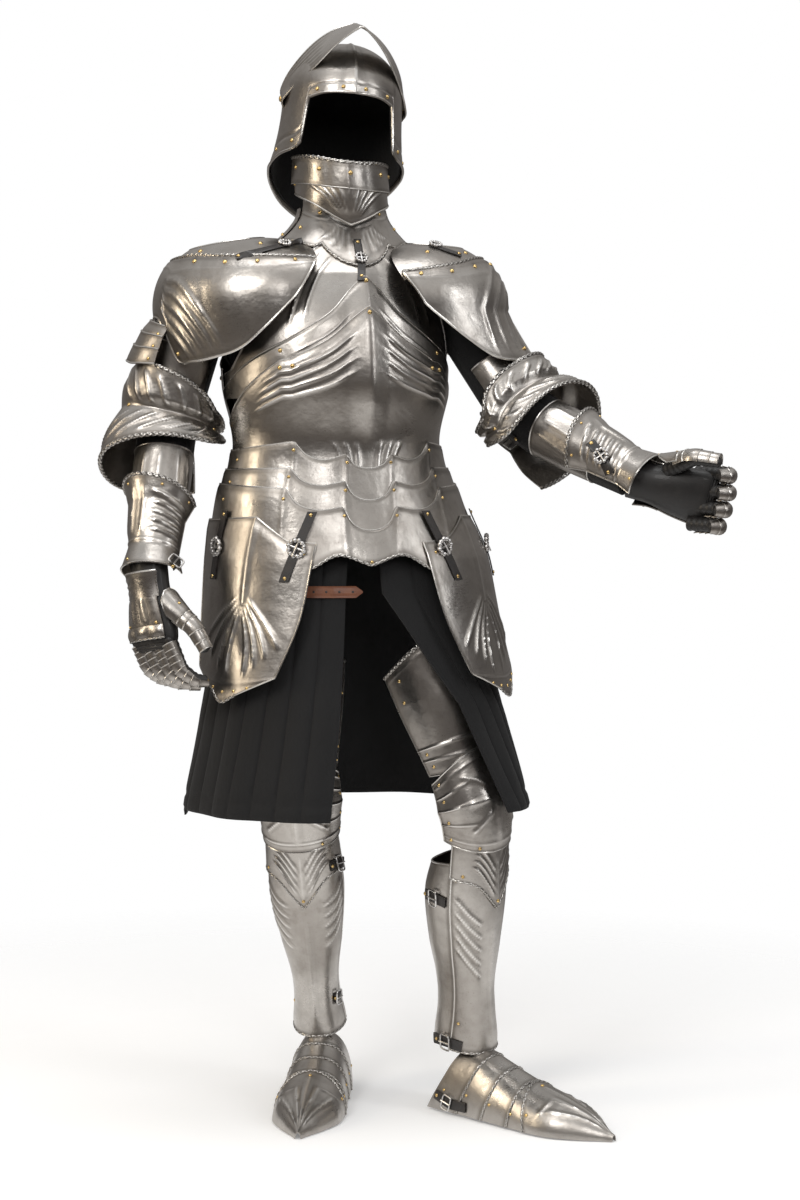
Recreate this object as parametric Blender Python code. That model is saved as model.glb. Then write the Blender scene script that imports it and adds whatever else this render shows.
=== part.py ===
"""Suit of plate armour over its quilted arming coat, in a standing pose.

Every plate and every cloth panel is a thin wall of its own. A plate is a patch of a tube or of a
dome: its columns run round the limb, its rows run along it, and short tables give the edges.
Heights in the tables are metres above the ground; the part's origin is between the shoulders.
"""

import math
from collections import namedtuple

import bmesh
import bpy
from mathutils import Matrix, Vector

ORIGIN = Vector((-0.020, 0.030, 1.470))  # between the shoulders, above the ground
PLATE = 0.0016  # thickness of the steel in the solids
CLOTH = 0.0030  # thickness of the quilted cloth
LEATHER = 0.0024
LAYER = 0.0044  # from one plate to the plate that lies on it
GAP = 0.0005

STEEL = ("steel", (0.50, 0.48, 0.45), 0.32, 1.0)
COAT = ("quilted_cloth", (0.012, 0.012, 0.014), 0.9, 0.0)
HIDE = ("black_leather", (0.02, 0.018, 0.017), 0.55, 0.0)
BELT = ("brown_leather", (0.27, 0.09, 0.03), 0.6, 0.0)

Knot = namedtuple("Knot", "share value")
Ring = namedtuple("Ring", "along width front back")
Section = namedtuple("Section", "height half_width front back turn x y")


def blend(knots, share):
    """The value of a short table at a share, eased between its knots."""
    if share <= knots[0].share:
        return knots[0].value
    for first, second in zip(knots, knots[1:]):
        if share <= second.share:
            part = (share - first.share) / (second.share - first.share)
            return first.value + (second.value - first.value) * part
    return knots[-1].value


def smooth_fields(rows, at):
    """The fields of a table of sections at a place along it, by a smooth curve through the rows."""
    places = [row[0] for row in rows]
    order = 1 if places[-1] > places[0] else -1
    if (at - places[0]) * order <= 0:
        return rows[0]
    if (at - places[-1]) * order >= 0:
        return rows[-1]
    k = next(i for i in range(len(rows) - 1) if (places[i + 1] - at) * order >= 0)
    before, first, second, after = (rows[max(0, min(len(rows) - 1, k + j))] for j in (-1, 0, 1, 2))
    part = (at - first[0]) / (second[0] - first[0])
    values = []
    for p0, p1, p2, p3 in zip(before, first, second, after):
        pull = 2 * p1 + (p2 - p0) * part + (2 * p0 - 5 * p1 + 4 * p2 - p3) * part ** 2
        values.append(0.5 * (pull + (3 * p1 - p0 - 3 * p2 + p3) * part ** 3))
    return type(first)(*values)


def oval(angle, half_width, front, back, fullness=2.15):
    """Sideways and forward reach of an oval section at an angle from its front, in degrees."""
    sine, cosine = math.sin(math.radians(angle)), math.cos(math.radians(angle))
    power = 2 / fullness
    reach = front if cosine > 0 else back
    return (
        math.copysign(abs(sine) ** power, sine) * half_width,
        math.copysign(abs(cosine) ** power, cosine) * reach,
    )


class Trunk:
    """The upright form of the torso and the skirt. Angles are from the front, toward its own left."""

    def __init__(self, sections, lean=0.0):
        self.sections = sections
        self.lean = lean

    def at(self, angle, height, lift):
        place = smooth_fields(self.sections, height)
        turn = math.radians(place.turn)
        side, fore = oval(
            angle, place.half_width + lift, place.front + lift, place.back + lift
        )
        x = place.x + side * math.cos(turn) + fore * math.sin(turn)
        y = place.y + side * math.sin(turn) - fore * math.cos(turn)
        return Vector((x, y, height - self.lean * (x - place.x))) - ORIGIN


class Limb:
    """A bent axis through joints with a front direction at each, and oval rings along it."""

    def __init__(self, joints, fronts, rings, outward=1, bend=0.045, start=None):
        self.joints = [Vector(joint) for joint in joints]
        self.fronts = [Vector(front).normalized() for front in fronts]
        self.rings = rings
        self.outward = outward
        self.bend = bend
        self.stops = [-(self.joints[1] - self.joints[0]).length if start is None else start]
        for first, second in zip(self.joints, self.joints[1:]):
            self.stops.append(self.stops[-1] + (second - first).length)

    def straight(self, along):
        """The point of the unrounded axis at a distance along it, run on past both ends."""
        k = 0
        while k < len(self.stops) - 2 and along > self.stops[k + 1]:
            k += 1
        part = (along - self.stops[k]) / (self.stops[k + 1] - self.stops[k])
        return self.joints[k].lerp(self.joints[k + 1], part)

    def frame(self, along):
        """Centre, side, front and direction of the axis at a distance along it."""
        steps = [along + self.bend * step / 4 for step in range(-4, 5)]
        points = [self.straight(step) for step in steps]
        centre = sum(points, Vector()) / len(points)
        direction = (points[-1] - points[0]).normalized()
        knots = [Knot(stop, k) for k, stop in enumerate(self.stops)]
        place = blend(knots, along)
        k = min(int(place), len(self.fronts) - 2)
        front = self.fronts[k].lerp(self.fronts[k + 1], place - k)
        front = (front - direction * front.dot(direction)).normalized()
        return centre, front.cross(direction) * self.outward, front, direction

    def at(self, angle, along, lift):
        centre, side, front, _ = self.frame(along)
        ring = smooth_fields(self.rings, along)
        wide, fore = oval(angle, ring.width + lift, ring.front + lift, ring.back + lift)
        return centre + side * wide + front * fore - ORIGIN


class Dome:
    """A rounded shell about a centre: angles go round it from the front, rises go up it, in degrees.

    Below the centre the shell runs straight down and widens or narrows by its flare table.
    """

    def __init__(self, half_width, front, back, top, centre, turn, tilt, lean, flare, reach=None, outward=1,
                 drift=0.0):
        self.centre = Vector(centre)
        self.matrix = (
            Matrix.Rotation(math.radians(tilt), 3, "Y")
            @ Matrix.Rotation(math.radians(turn), 3, "Z")
            @ Matrix.Rotation(math.radians(lean), 3, "X")
        )
        self.size = (half_width, front, back, top)
        self.flare = flare
        self.reach = reach
        self.outward = outward
        self.drift = drift  # how far it moves outward for each metre below the centre

    def at(self, angle, rise, lift):
        half_width, front, back, top = self.size
        around = angle if self.reach else 180 - abs(180 - angle % 360)
        flare = blend([Knot(*row) for row in self.flare], around)
        if rise > 0:
            up = math.sin(math.radians(rise)) * (top + lift)
            level = math.cos(math.radians(rise))
        else:
            up = math.radians(rise) * top
            level = 1 + flare * (up / 0.1) ** 2
        if self.reach:
            radius = smooth_fields([Knot(*row) for row in self.reach], angle).value + lift
            side, fore = radius * math.sin(math.radians(angle)), radius * math.cos(math.radians(angle))
        else:
            side, fore = oval(angle, half_width + lift, front + lift, back + lift, 2.0)
        side = side * level - min(0.0, up) * self.drift
        point = Vector((side * self.outward, -fore * level, up))
        return self.centre + self.matrix @ point - ORIGIN


def value(table, share):
    """A fixed number, a table of knots, or a function, read at a share."""
    if callable(table):
        return table(share)
    return blend(table, share) if isinstance(table, (list, tuple)) else table


def spread(span, share):
    return span[0] + (span[1] - span[0]) * share


def paint(part, finish):
    name, colour, roughness, metallic = finish
    material = bpy.data.materials.new(f"{part.name}_{name}")
    material.use_nodes = True
    shader = material.node_tree.nodes["Principled BSDF"]
    shader.inputs["Base Color"].default_value = (*colour, 1)
    shader.inputs["Roughness"].default_value = roughness
    shader.inputs["Metallic"].default_value = metallic
    part.data.materials.append(material)


def node(name, mesh, finish):
    part = bpy.data.objects.new(name, mesh)
    bpy.data.collections["suit_of_armour"].objects.link(part)
    paint(part, finish)
    return part


def shell(name, outer, inner, columns, rows, finish=STEEL):
    """A wall between two surfaces. Columns and rows are counts, or the shares where lines lie."""
    across = columns if isinstance(columns, list) else [k / columns for k in range(columns + 1)]
    along = rows if isinstance(rows, list) else [k / rows for k in range(rows + 1)]
    shape = bmesh.new()
    bmesh.ops.create_grid(shape, x_segments=len(across) - 1, y_segments=len(along) - 1, size=0.5)
    share_u = shape.verts.layers.float.new("share_u")
    share_t = shape.verts.layers.float.new("share_t")
    for vert in shape.verts:
        vert[share_u] = across[round((vert.co.x + 0.5) * (len(across) - 1))]
        vert[share_t] = along[round((vert.co.y + 0.5) * (len(along) - 1))]
        vert.co = outer(vert[share_u], vert[share_t])
    bmesh.ops.remove_doubles(shape, verts=shape.verts, dist=1e-6)
    copied = bmesh.ops.extrude_face_region(shape, geom=shape.faces[:], use_keep_orig=True)
    for vert in copied["geom"]:
        if isinstance(vert, bmesh.types.BMVert):
            vert.co = inner(vert[share_u], vert[share_t])
    bmesh.ops.recalc_face_normals(shape, faces=shape.faces)
    bmesh.ops.triangulate(shape, faces=shape.faces, quad_method="SHORT_EDGE")
    mesh = bpy.data.meshes.new(name)
    shape.to_mesh(mesh)
    shape.free()
    return node(name, mesh, finish)


def plate(name, form, angles, span, columns, rows, layer=0.0, wall=PLATE, relief=None, swell=None,
          finish=STEEL):
    """A patch of a form. angles and span are pairs of edges, each a number or a table by share."""

    def spot(u, t, lift):
        angle = spread((value(angles[0], t), value(angles[1], t)), u)
        along = spread((value(span[0], u), value(span[1], u)), t)
        return form.at(angle, along, lift + (swell(u, t) if swell else 0.0))

    def outer(u, t):
        return spot(u, t, layer + wall + (relief(u, t) if relief else 0.0))

    def inner(u, t):
        return spot(u, t, layer)

    return shell(name, outer, inner, columns, rows, finish)


def flutes(first, last, count, height, fade=None):
    """Raised flutes between two shares: the lines where they lie, and their height at a line."""
    pitch = (last - first) / (2 * count)
    lines = [first + pitch * k for k in range(2 * count + 1)]

    def raised(share, other):
        k = (share - first) / pitch
        if k < 0.5 or k > 2 * count - 0.5 or round(k) % 2 == 0:
            return 0.0
        return height * (value(fade, other) if fade else 1.0)

    return lines, raised


def shares(*groups):
    """The lines of a plate from several groups, in order, with none twice."""
    return sorted({round(share, 5) for group in groups for share in group})


TORSO = [
    Section(1.560, 0.066, 0.066, 0.066, 14, -0.014, 0.030),
    Section(1.530, 0.078, 0.074, 0.076, 16, -0.014, 0.030),
    Section(1.490, 0.118, 0.092, 0.098, 18, -0.016, 0.030),
    Section(1.440, 0.166, 0.130, 0.120, 20, -0.022, 0.030),
    Section(1.360, 0.188, 0.161, 0.134, 21, -0.028, 0.030),
    Section(1.260, 0.190, 0.168, 0.132, 22, -0.030, 0.030),
    Section(1.160, 0.174, 0.134, 0.112, 25, -0.028, 0.030),
    Section(1.060, 0.194, 0.150, 0.132, 20, -0.022, 0.030),
    Section(0.970, 0.216, 0.172, 0.158, 14, -0.008, 0.030),
    Section(0.850, 0.234, 0.194, 0.190, 12, -0.002, 0.030),
    Section(0.700, 0.264, 0.218, 0.213, 11, 0.002, 0.030),
    Section(0.520, 0.298, 0.234, 0.232, 10, 0.004, 0.030),
]
KEEL = 0.010  # how far the middle of the breast stands out
HALF = 90  # a front plate reaches this far round each side, in degrees
BACK = (96, 264)
ACROSS = (0, 6, 11, 22, 32, 39, 50, 62, 76, HALF)


def keel(half_angle=HALF, low=None):
    """The ridge down the middle of a plate, by its shares; it can die out toward the lower edge."""

    def ridge(u, t):
        near = max(0.0, 1 - abs(2 * u - 1) * half_angle / 9.0)
        return KEEL * near * (blend(low, t) if low else 1.0)

    return ridge


def settled(t, depth=0.0017):
    """How far a plate's upper edge bends in, to lie on the plate under it."""
    return -depth if t > 0.999 else 0.0


def build_breast(trunk):
    """The upright plates, innermost first: each one lies on the one before it."""
    across = shares([0.5 + side * angle / HALF / 2 for angle in ACROSS for side in (-1, 1)])
    neck = mirrored([(0, 1.480), (14, 1.484), (26, 1.492), (38, 1.462), (54, 1.385), (66, 1.330), (80, 1.285),
                     (HALF, 1.275)], HALF)
    fade = [Knot(0, 1), Knot(0.6, 1), Knot(1, 0.1)]
    under = mirrored([(0, 1.300), (54, 1.300), (70, 1.270), (HALF, 1.235)], HALF)
    plate("breast_upper", trunk, (-HALF, HALF), (under, neck), across, 3, 0, swell=keel(low=fade))
    middle = mirrored([(0, 1.436), (6, 1.416), (17, 1.374), (38, 1.332), (60, 1.300), (HALF, 1.250)], HALF)
    ridge = keel()
    plate("breast_middle", trunk, (-HALF, HALF), (1.235, middle), across, 3, LAYER + 0.0004,
          swell=lambda u, t: ridge(u, t) + settled(t))

    lines, raised = flutes(0.48, 0.92, 4, 0.0036)
    top = mirrored([(0, 1.384), (6, 1.366), (18, 1.330), (37, 1.298), (43, 1.296), (60, 1.262), (HALF, 1.200)],
                   HALF)
    foot = mirrored([(0, 1.104), (40, 1.120), (HALF, 1.128)], HALF)
    bend = mirrored([(0, 0.5), (5, 1), (34, 1), (39, 0.3), (44, 1), (HALF, 1)], HALF)
    crest = keel(low=[Knot(0, 0), Knot(0.15, 0), Knot(0.45, 1), Knot(1, 1)])
    plate("plackart", trunk, (-HALF, HALF), (foot, top), across, shares([0, 0.1, 0.2, 0.34, 1], lines), 2 * LAYER,
          relief=lambda u, t: raised(t, u) * blend(bend, u), swell=lambda u, t: crest(u, t) + settled(t))

    lines, raised = flutes(0.26, 0.74, 3, 0.004, [Knot(0, 0), Knot(0.2, 0), Knot(0.35, 1), Knot(1, 1)])
    rise = mirrored([(0, 1.478), (22, 1.462), (46, 1.370), (60, 1.318), (84, 1.285)], 84)
    plate("backplate", trunk, BACK, (1.125, rise), shares([0, 0.13, 0.87, 1], lines),
          [0, 0.11, 0.24, 0.45, 0.7, 1], 0, relief=raised)


def mirrored(half, edge):
    """A table by share across a plate, from (angle from the middle, value) pairs of one half."""
    left = [Knot(0.5 + 0.5 * angle / edge, number) for angle, number in half]
    return [Knot(1 - knot.share, knot.value) for knot in left[:0:-1]] + left


Lame = namedtuple("Lame", "layer low side peak dip cusp middle")
FAULDS = [
    Lame(3, 1.062, 1.149, 1.163, 1.134, 1.143, 1.120),
    Lame(4, 1.012, 1.118, 1.120, 1.092, 1.099, 1.068),
    Lame(5, 0.958, 1.094, 1.087, 1.052, 1.057, 1.019),
]


def build_faulds(trunk):
    """Three lames with scalloped upper edges: a cusp each side of the middle, a peak each side."""
    for number, lame in enumerate(FAULDS, 1):
        lift = 0.3 * (lame.peak - lame.dip)
        top = mirrored([(0, lame.middle), (7, lame.middle + 0.3 * (lame.cusp - lame.middle)),
                        (11, lame.cusp), (22, lame.dip), (32, lame.dip + lift), (39, lame.peak),
                        (62, 0.5 * (lame.peak + lame.side)), (HALF, lame.side)], HALF)
        low = lame.low
        if number == len(FAULDS):
            low = mirrored([(0, 0.963), (12, 0.979), (25, 0.955), (60, 0.966), (HALF, 0.975)], HALF)
        columns = shares([0.5 + side * angle / HALF / 2 for angle in ACROSS for side in (-1, 1)])
        plate(f"fauld_{number}", trunk, (-HALF, HALF), (low, top), columns, 2,
              lame.layer * LAYER, swell=lambda u, t: settled(t))
    lines, raised = flutes(0.2, 0.8, 3, 0.004, [Knot(0, 1), Knot(0.6, 1), Knot(0.8, 0)])
    plate("culet", trunk, BACK, (0.955, 1.150), shares([0, 0.1, 0.9, 1], lines), [0, 0.35, 0.65, 0.85, 1],
          LAYER, relief=raised, swell=lambda u, t: settled(t, 0.0003))


Tasset = namedtuple("Tasset", "side swing lift")
TASSETS = {"right": Tasset(-1, 0, 0.0), "left": Tasset(1, 3, 0.0)}


def build_tassets(trunk):
    lines, raised = flutes(0.20, 0.84, 4, 0.004, [Knot(0, 0), Knot(0.1, 1), Knot(0.45, 0.8), Knot(0.6, 0)])
    for name, tasset in TASSETS.items():
        edges = []
        for rows in ([(0, 50), (0.12, 34), (0.5, 26), (1, 21)], [(0, 64), (0.12, 77), (0.5, 86), (1, 92)]):
            edges.append([Knot(t, tasset.side * (a + tasset.swing * (1 - t))) for t, a in rows])
        top = [Knot(0, 0.998), Knot(0.18, 1.002), Knot(0.42, 1.040), Knot(1, 1.034)]
        low = [Knot(0, 0.752), Knot(0.55, 0.738), Knot(1, 0.758)]
        plate(f"tasset_{name}", trunk, edges, (low, top), shares([0, 1], lines),
              [0, 0.10, 0.25, 0.45, 0.65, 0.82, 1], 6 * LAYER + tasset.lift,
              relief=lambda u, t: raised(u, t), swell=lambda u, t: settled(t))
        layer = 6 * LAYER + tasset.lift + PLATE + GAP
        for place, first, last in (("inner", 24, 33), ("outer", 72, 74)):
            middle = [Knot(0, tasset.side * (last + tasset.swing)), Knot(1, tasset.side * first)]
            sides = [[Knot(k.share, k.value + half) for k in middle] for half in (-2.1, 2.1)]
            plate(f"tasset_strap_{place}_{name}", trunk, sides, (0.936, 1.050), 2, 5, layer, LEATHER,
                  finish=HIDE)


def quilting(first, last, count):
    """Vertical quilted channels between two shares: the lines, and how far each line stands out."""
    lines = [first + (last - first) * k / (2 * count) for k in range(2 * count + 1)]
    return lines, lambda u: 0.0032 if round((u - first) / (last - first) * 2 * count) % 2 else 0.0


CoatPanel = namedtuple("CoatPanel", "name first last hem top channels")


def build_coat(trunk):
    """The arming coat: two fronts and a back, hung inside the plates and flared below them."""
    neck = 1.500
    front_top = [(0, neck - 0.03), (0.35, neck - 0.03), (0.55, 1.42), (0.8, 1.34), (1, 1.31)]
    panels = [
        CoatPanel("coat_front_right", [(0, -13), (0.4, -9), (0.8, -3), (1, -6)], [(0, -91.5), (1, -91.5)],
                  0.545, front_top, 8),
        CoatPanel("coat_front_left", [(0, 50), (0.2, 35), (0.4, 5), (0.8, 2), (1, 0)], [(0, 91.5), (1, 91.5)],
                  0.545, front_top, 6),
        CoatPanel("coat_back", [(0, 91.8), (1, 91.8)], [(0, 268.2), (1, 268.2)], 0.530,
                  [(0, 1.31), (0.15, 1.34), (0.3, 1.44), (0.4, neck), (0.6, neck), (0.7, 1.44),
                   (0.85, 1.34), (1, 1.31)], 13),
    ]
    for panel in panels:
        lines, raised = quilting(0, 1, panel.channels)
        first = [Knot(*row) for row in panel.first]
        last = [Knot(*row) for row in panel.last]
        top = [Knot(*row) for row in panel.top]

        def swell(u, t, panel=panel, first=first, last=last, top=top):
            under_plates = -0.011 * max(0.0, min(1.0, (spread((panel.hem, blend(top, u)), t) - 0.96) / 0.06))
            angle = spread((blend(first, t), blend(last, t)), u)
            if panel.name == "coat_back" and t > 0.999:
                return 0.0030
            if panel.name != "coat_front_left" or t > 0.25:
                return under_plates
            return 0.026 * max(0.0, 1 - abs(angle - 56) / 30) * (1 - t / 0.25)

        plate(panel.name, trunk, (first, last), (panel.hem, top), lines,
              [0, 0.035, 0.25, 0.48, 0.62, 0.74, 0.87, 1], -0.0095, CLOTH,
              relief=lambda u, t, raised=raised: raised(u) * (t > 0.02), finish=COAT, swell=swell)
    plate("belt", trunk, (-62, -2), (0.909, 0.928), 12, 1, -0.0018, LEATHER, finish=BELT)


HEAD = dict(centre=(-0.012, 0.030, 1.735), turn=11, tilt=5, lean=-5)
SKULL_REACH = (0.099, 0.115, 0.140, 0.094)
RIM = [(0, -5), (28, -6), (46, -9), (54, -38), (74, -50), (96, -62), (124, -80), (152, -98), (180, -107)]
FLARE = [(0, 0.0), (50, 0.0), (74, 0.06), (100, 0.12), (150, 0.10), (180, 0.12)]


def around(half):
    """A table by share all the way round, from (angle, value) pairs of one side."""
    ahead = [Knot(angle / 360, number) for angle, number in half]
    return ahead + [Knot(1 - knot.share, knot.value) for knot in ahead[-2::-1]]


def build_helmet():
    head = Dome(*SKULL_REACH, flare=FLARE, **HEAD)
    rim = around(RIM)
    columns = shares([angle / 360 for angle, _ in RIM], [1 - angle / 360 for angle, _ in RIM])
    rows = [0, 0.16, 0.34, 0.50, 0.66, 0.84, 1]

    def comb(u, t):
        return 0.006 * (1 - t * t) if min(abs(u), abs(u - 0.5), abs(u - 1)) < 0.001 and t < 0.99 else 0.0

    plate("sallet_skull", head, (0, 360), (rim, 90), columns, rows, 0, relief=comb)
    inside = [Knot(knot.share, knot.value + 3) for knot in rim]
    plate("sallet_lining", head, (0, 360), (inside, 90), columns, rows, -GAP - CLOTH - 0.001, CLOTH, finish=COAT)

    raised = dict(HEAD, lean=HEAD["lean"] - VISOR_RAISED)
    half = Dome(0.1045, 0.122, 0.122, 0.122, flare=[(0, 0.0), (180, 0.0)], **raised)
    lines, ribs = flutes(0.26, 0.74, 5, 0.0024)

    def prow(u, t):
        ahead = max(0.0, 1 - abs(u - 0.5) / 0.42)
        pivot = -0.0034 if abs(u - 0.5) > 0.499 else 0.0
        return pivot + (1 - t) * (0.006 * ahead + 0.024 * ahead ** 3) + 0.012 * ahead ** 2

    low = mirrored([(0, -30), (30, -25), (60, -17), (80, -13), (96, -9)], 96)
    high = mirrored([(0, 8), (30, 9), (60, 7), (80, 9), (96, 8)], 96)
    visor = plate("visor", half, (-96, 96), (low, high), shares([0, 0.08, 0.17], lines, [0.83, 0.92, 1]),
          [0, 0.3, 0.65, 1], 0, relief=lambda u, t: ribs(u, t) * (t < 0.9), swell=prow)
    hinge = Matrix.Translation(half.centre - ORIGIN)
    visor.data.transform(hinge.inverted())
    visor.matrix_world = hinge


VISOR_RAISED = 53
NECK = [
    Section(1.660, 0.074, 0.096, 0.070, 8, -0.018, 0.012),
    Section(1.620, 0.076, 0.102, 0.074, 8, -0.017, 0.014),
    Section(1.570, 0.080, 0.104, 0.080, 9, -0.016, 0.018),
    Section(1.520, 0.088, 0.096, 0.086, 10, -0.014, 0.024),
]


def build_neck(trunk):
    """The bevor round the chin, leaning with the head, and the gorget over the collar bones."""
    neck = Trunk(NECK, lean=0.09)

    def chin(u, t):
        return 0.007 * max(0.0, 1 - abs(u - 0.5) / 0.12)

    lines, raised = flutes(0.22, 0.78, 4, 0.0035, [Knot(0, 1), Knot(0.5, 0.6), Knot(0.7, 0)])
    low = mirrored([(0, 1.522), (18, 1.536), (40, 1.552), (70, 1.566), (92, 1.574)], 92)
    high = mirrored([(0, 1.596), (40, 1.602), (92, 1.608)], 92)
    def seat(u, t):
        return chin(u, t) - 0.0047 * (1 - t) * max(0.0, abs(2 * u - 1) - 0.6) / 0.4

    plate("bevor_bowl", neck, (-92, 92), (low, high), shares([0, 0.11, 0.5, 0.89, 1], lines), 4, 0,
          relief=raised, swell=seat)
    plate("bevor_band", neck, (-92, 92), (mirrored([(0, 1.580), (92, 1.590)], 92),
          mirrored([(0, 1.622), (40, 1.628), (92, 1.633)], 92)), shares([0, 0.11, 0.5, 0.89, 1], lines), 2,
          0.0028, swell=chin)
    wings = mirrored([(0, 1.452), (9, 1.460), (18, 1.474), (27, 1.492), (33, 1.487), (52, 1.496), (80, 1.500)], 80)
    lines, raised = flutes(0.24, 0.76, 4, 0.0030, [Knot(0, 0.4), Knot(0.5, 1), Knot(0.8, 0)])
    ridge = keel(80, [Knot(0, 0.5), Knot(1, 0)])
    plate("gorget_front", trunk, (-80, 80), (wings, [Knot(0, 1.582), Knot(0.2, 1.566), Knot(0.8, 1.566),
          Knot(1, 1.582)]), shares([0, 0.12, 0.88, 1], lines), 4, 0.0031,
          relief=raised, swell=ridge)
    plate("gorget_back", trunk, (82, 278), (1.466, 1.556), 20, 3, 0.0065)


REACH = {
    "right": [(-60, 0.235), (-45, 0.222), (-22, 0.192), (0, 0.158), (25, 0.132), (62, 0.116), (95, 0.114),
              (130, 0.116), (160, 0.128), (190, 0.150), (215, 0.176), (235, 0.190)],
    "left": [(-60, 0.200), (-45, 0.180), (-22, 0.152), (0, 0.136), (25, 0.130), (62, 0.122), (95, 0.108),
             (130, 0.112), (160, 0.122), (190, 0.140), (215, 0.172), (235, 0.188)],
}
Shoulder = namedtuple("Shoulder", "outward centre turn tilt flare drift")
SHOULDERS = {
    "right": Shoulder(-1, (-0.212, 0.000, 1.390), 15, -9, -0.12, 0.0),
    "left": Shoulder(1, (0.141, 0.060, 1.390), 22, 3, 0.12, 0.60),
}


def build_pauldrons():
    """A main plate over the shoulder and a lame above it at the neck."""
    for name, shoulder in SHOULDERS.items():
        form = Dome(0, 0, 0, 0.112, centre=shoulder.centre, turn=shoulder.turn, tilt=shoulder.tilt, lean=0,
                    flare=[(0, shoulder.flare), (1, shoulder.flare)], reach=REACH[name],
                    outward=shoulder.outward, drift=shoulder.drift)
        first, last = -30, 212
        corner, deep = (5, -44) if name == "right" else (0, -42)
        low = [(first, -6), (-15, -26), (0, -40), (20, deep), (45, deep), (58 + corner, -40), (66 + corner, -14),
               (80, -2), (105, -2), (120, -14), (134, -36), (160, -42), (190, -30), (last, -8)]
        low = [Knot((angle - first) / (last - first), rise) for angle, rise in low]
        high = [Knot(0, 46), Knot(0.3, 50), Knot(0.6, 50), Knot(1, 46)]
        inner_first = [Knot(0, -24), Knot(0.5, -32), Knot(1, -42)]
        trim = 0 if name == "right" else 20
        inner_last = [Knot(0, 206 - trim), Knot(0.5, 212 - trim), Knot(1, 222 - trim)]
        lines, raised = flutes(0.12, 0.36, 3, 0.0040, [Knot(0, 1), Knot(0.5, 0.8), Knot(0.75, 0)])
        rear, hind = flutes(0.66, 0.90, 2, 0.0040, [Knot(0, 1), Knot(0.5, 0.8), Knot(0.75, 0)])
        plate(f"pauldron_{name}", form, (inner_first, inner_last), (low, high),
              shares([0, 0.06, 0.40, 0.46, 0.54, 0.60, 1], lines, rear), [0, 0.2, 0.42, 0.62, 0.8, 0.92, 1],
              LAYER, relief=lambda u, t: raised(u, t) + hind(u, t), swell=lambda u, t: settled(t, 0.0030))
        ends = (-68, 250) if name == "right" else (-68, 210)
        plate(f"pauldron_top_{name}", form, ([Knot(0, -40), Knot(1, ends[0])], [Knot(0, 220 - trim), Knot(1, ends[1])]),
              (40, 68), 15, 3, -0.003 if name == "right" else -0.0012)


Arm = namedtuple("Arm", "outward shoulder elbow wrist fronts lower")
ARMS = {
    "right": Arm(-1, (-0.244, -0.020, 1.425), (-0.308, 0.000, 1.195), (-0.325, -0.115, 0.945),
                 ((0.1, -1, 0.1), (0.05, -1, 0.1), (-0.1, -1, 0.5)), 0.0),
    "left": Arm(1, (0.168, 0.088, 1.425), (0.290, 0.010, 1.212), (0.482, -0.130, 1.102),
                ((0.1, -1, 0.1), (0.0, -0.75, 0.65), (-0.1, -0.4, 0.9)), 0.028),
}
SLEEVE = [Ring(-0.27, 0.054, 0.056, 0.056), Ring(-0.14, 0.049, 0.050, 0.050), Ring(0.0, 0.044, 0.046, 0.048),
          Ring(0.12, 0.042, 0.042, 0.042), Ring(0.27, 0.032, 0.030, 0.030)]
LAMES = [Ring(-0.22, 0.062, 0.060, 0.060), Ring(-0.17, 0.066, 0.062, 0.062), Ring(-0.145, 0.078, 0.068, 0.070),
         Ring(-0.08, 0.090, 0.070, 0.072)]
COUTER = [Ring(-0.10, 0.072, 0.070, 0.072), Ring(-0.04, 0.086, 0.072, 0.076), Ring(0.0, 0.092, 0.070, 0.076),
          Ring(0.05, 0.102, 0.074, 0.090), Ring(0.10, 0.106, 0.080, 0.096)]


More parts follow.
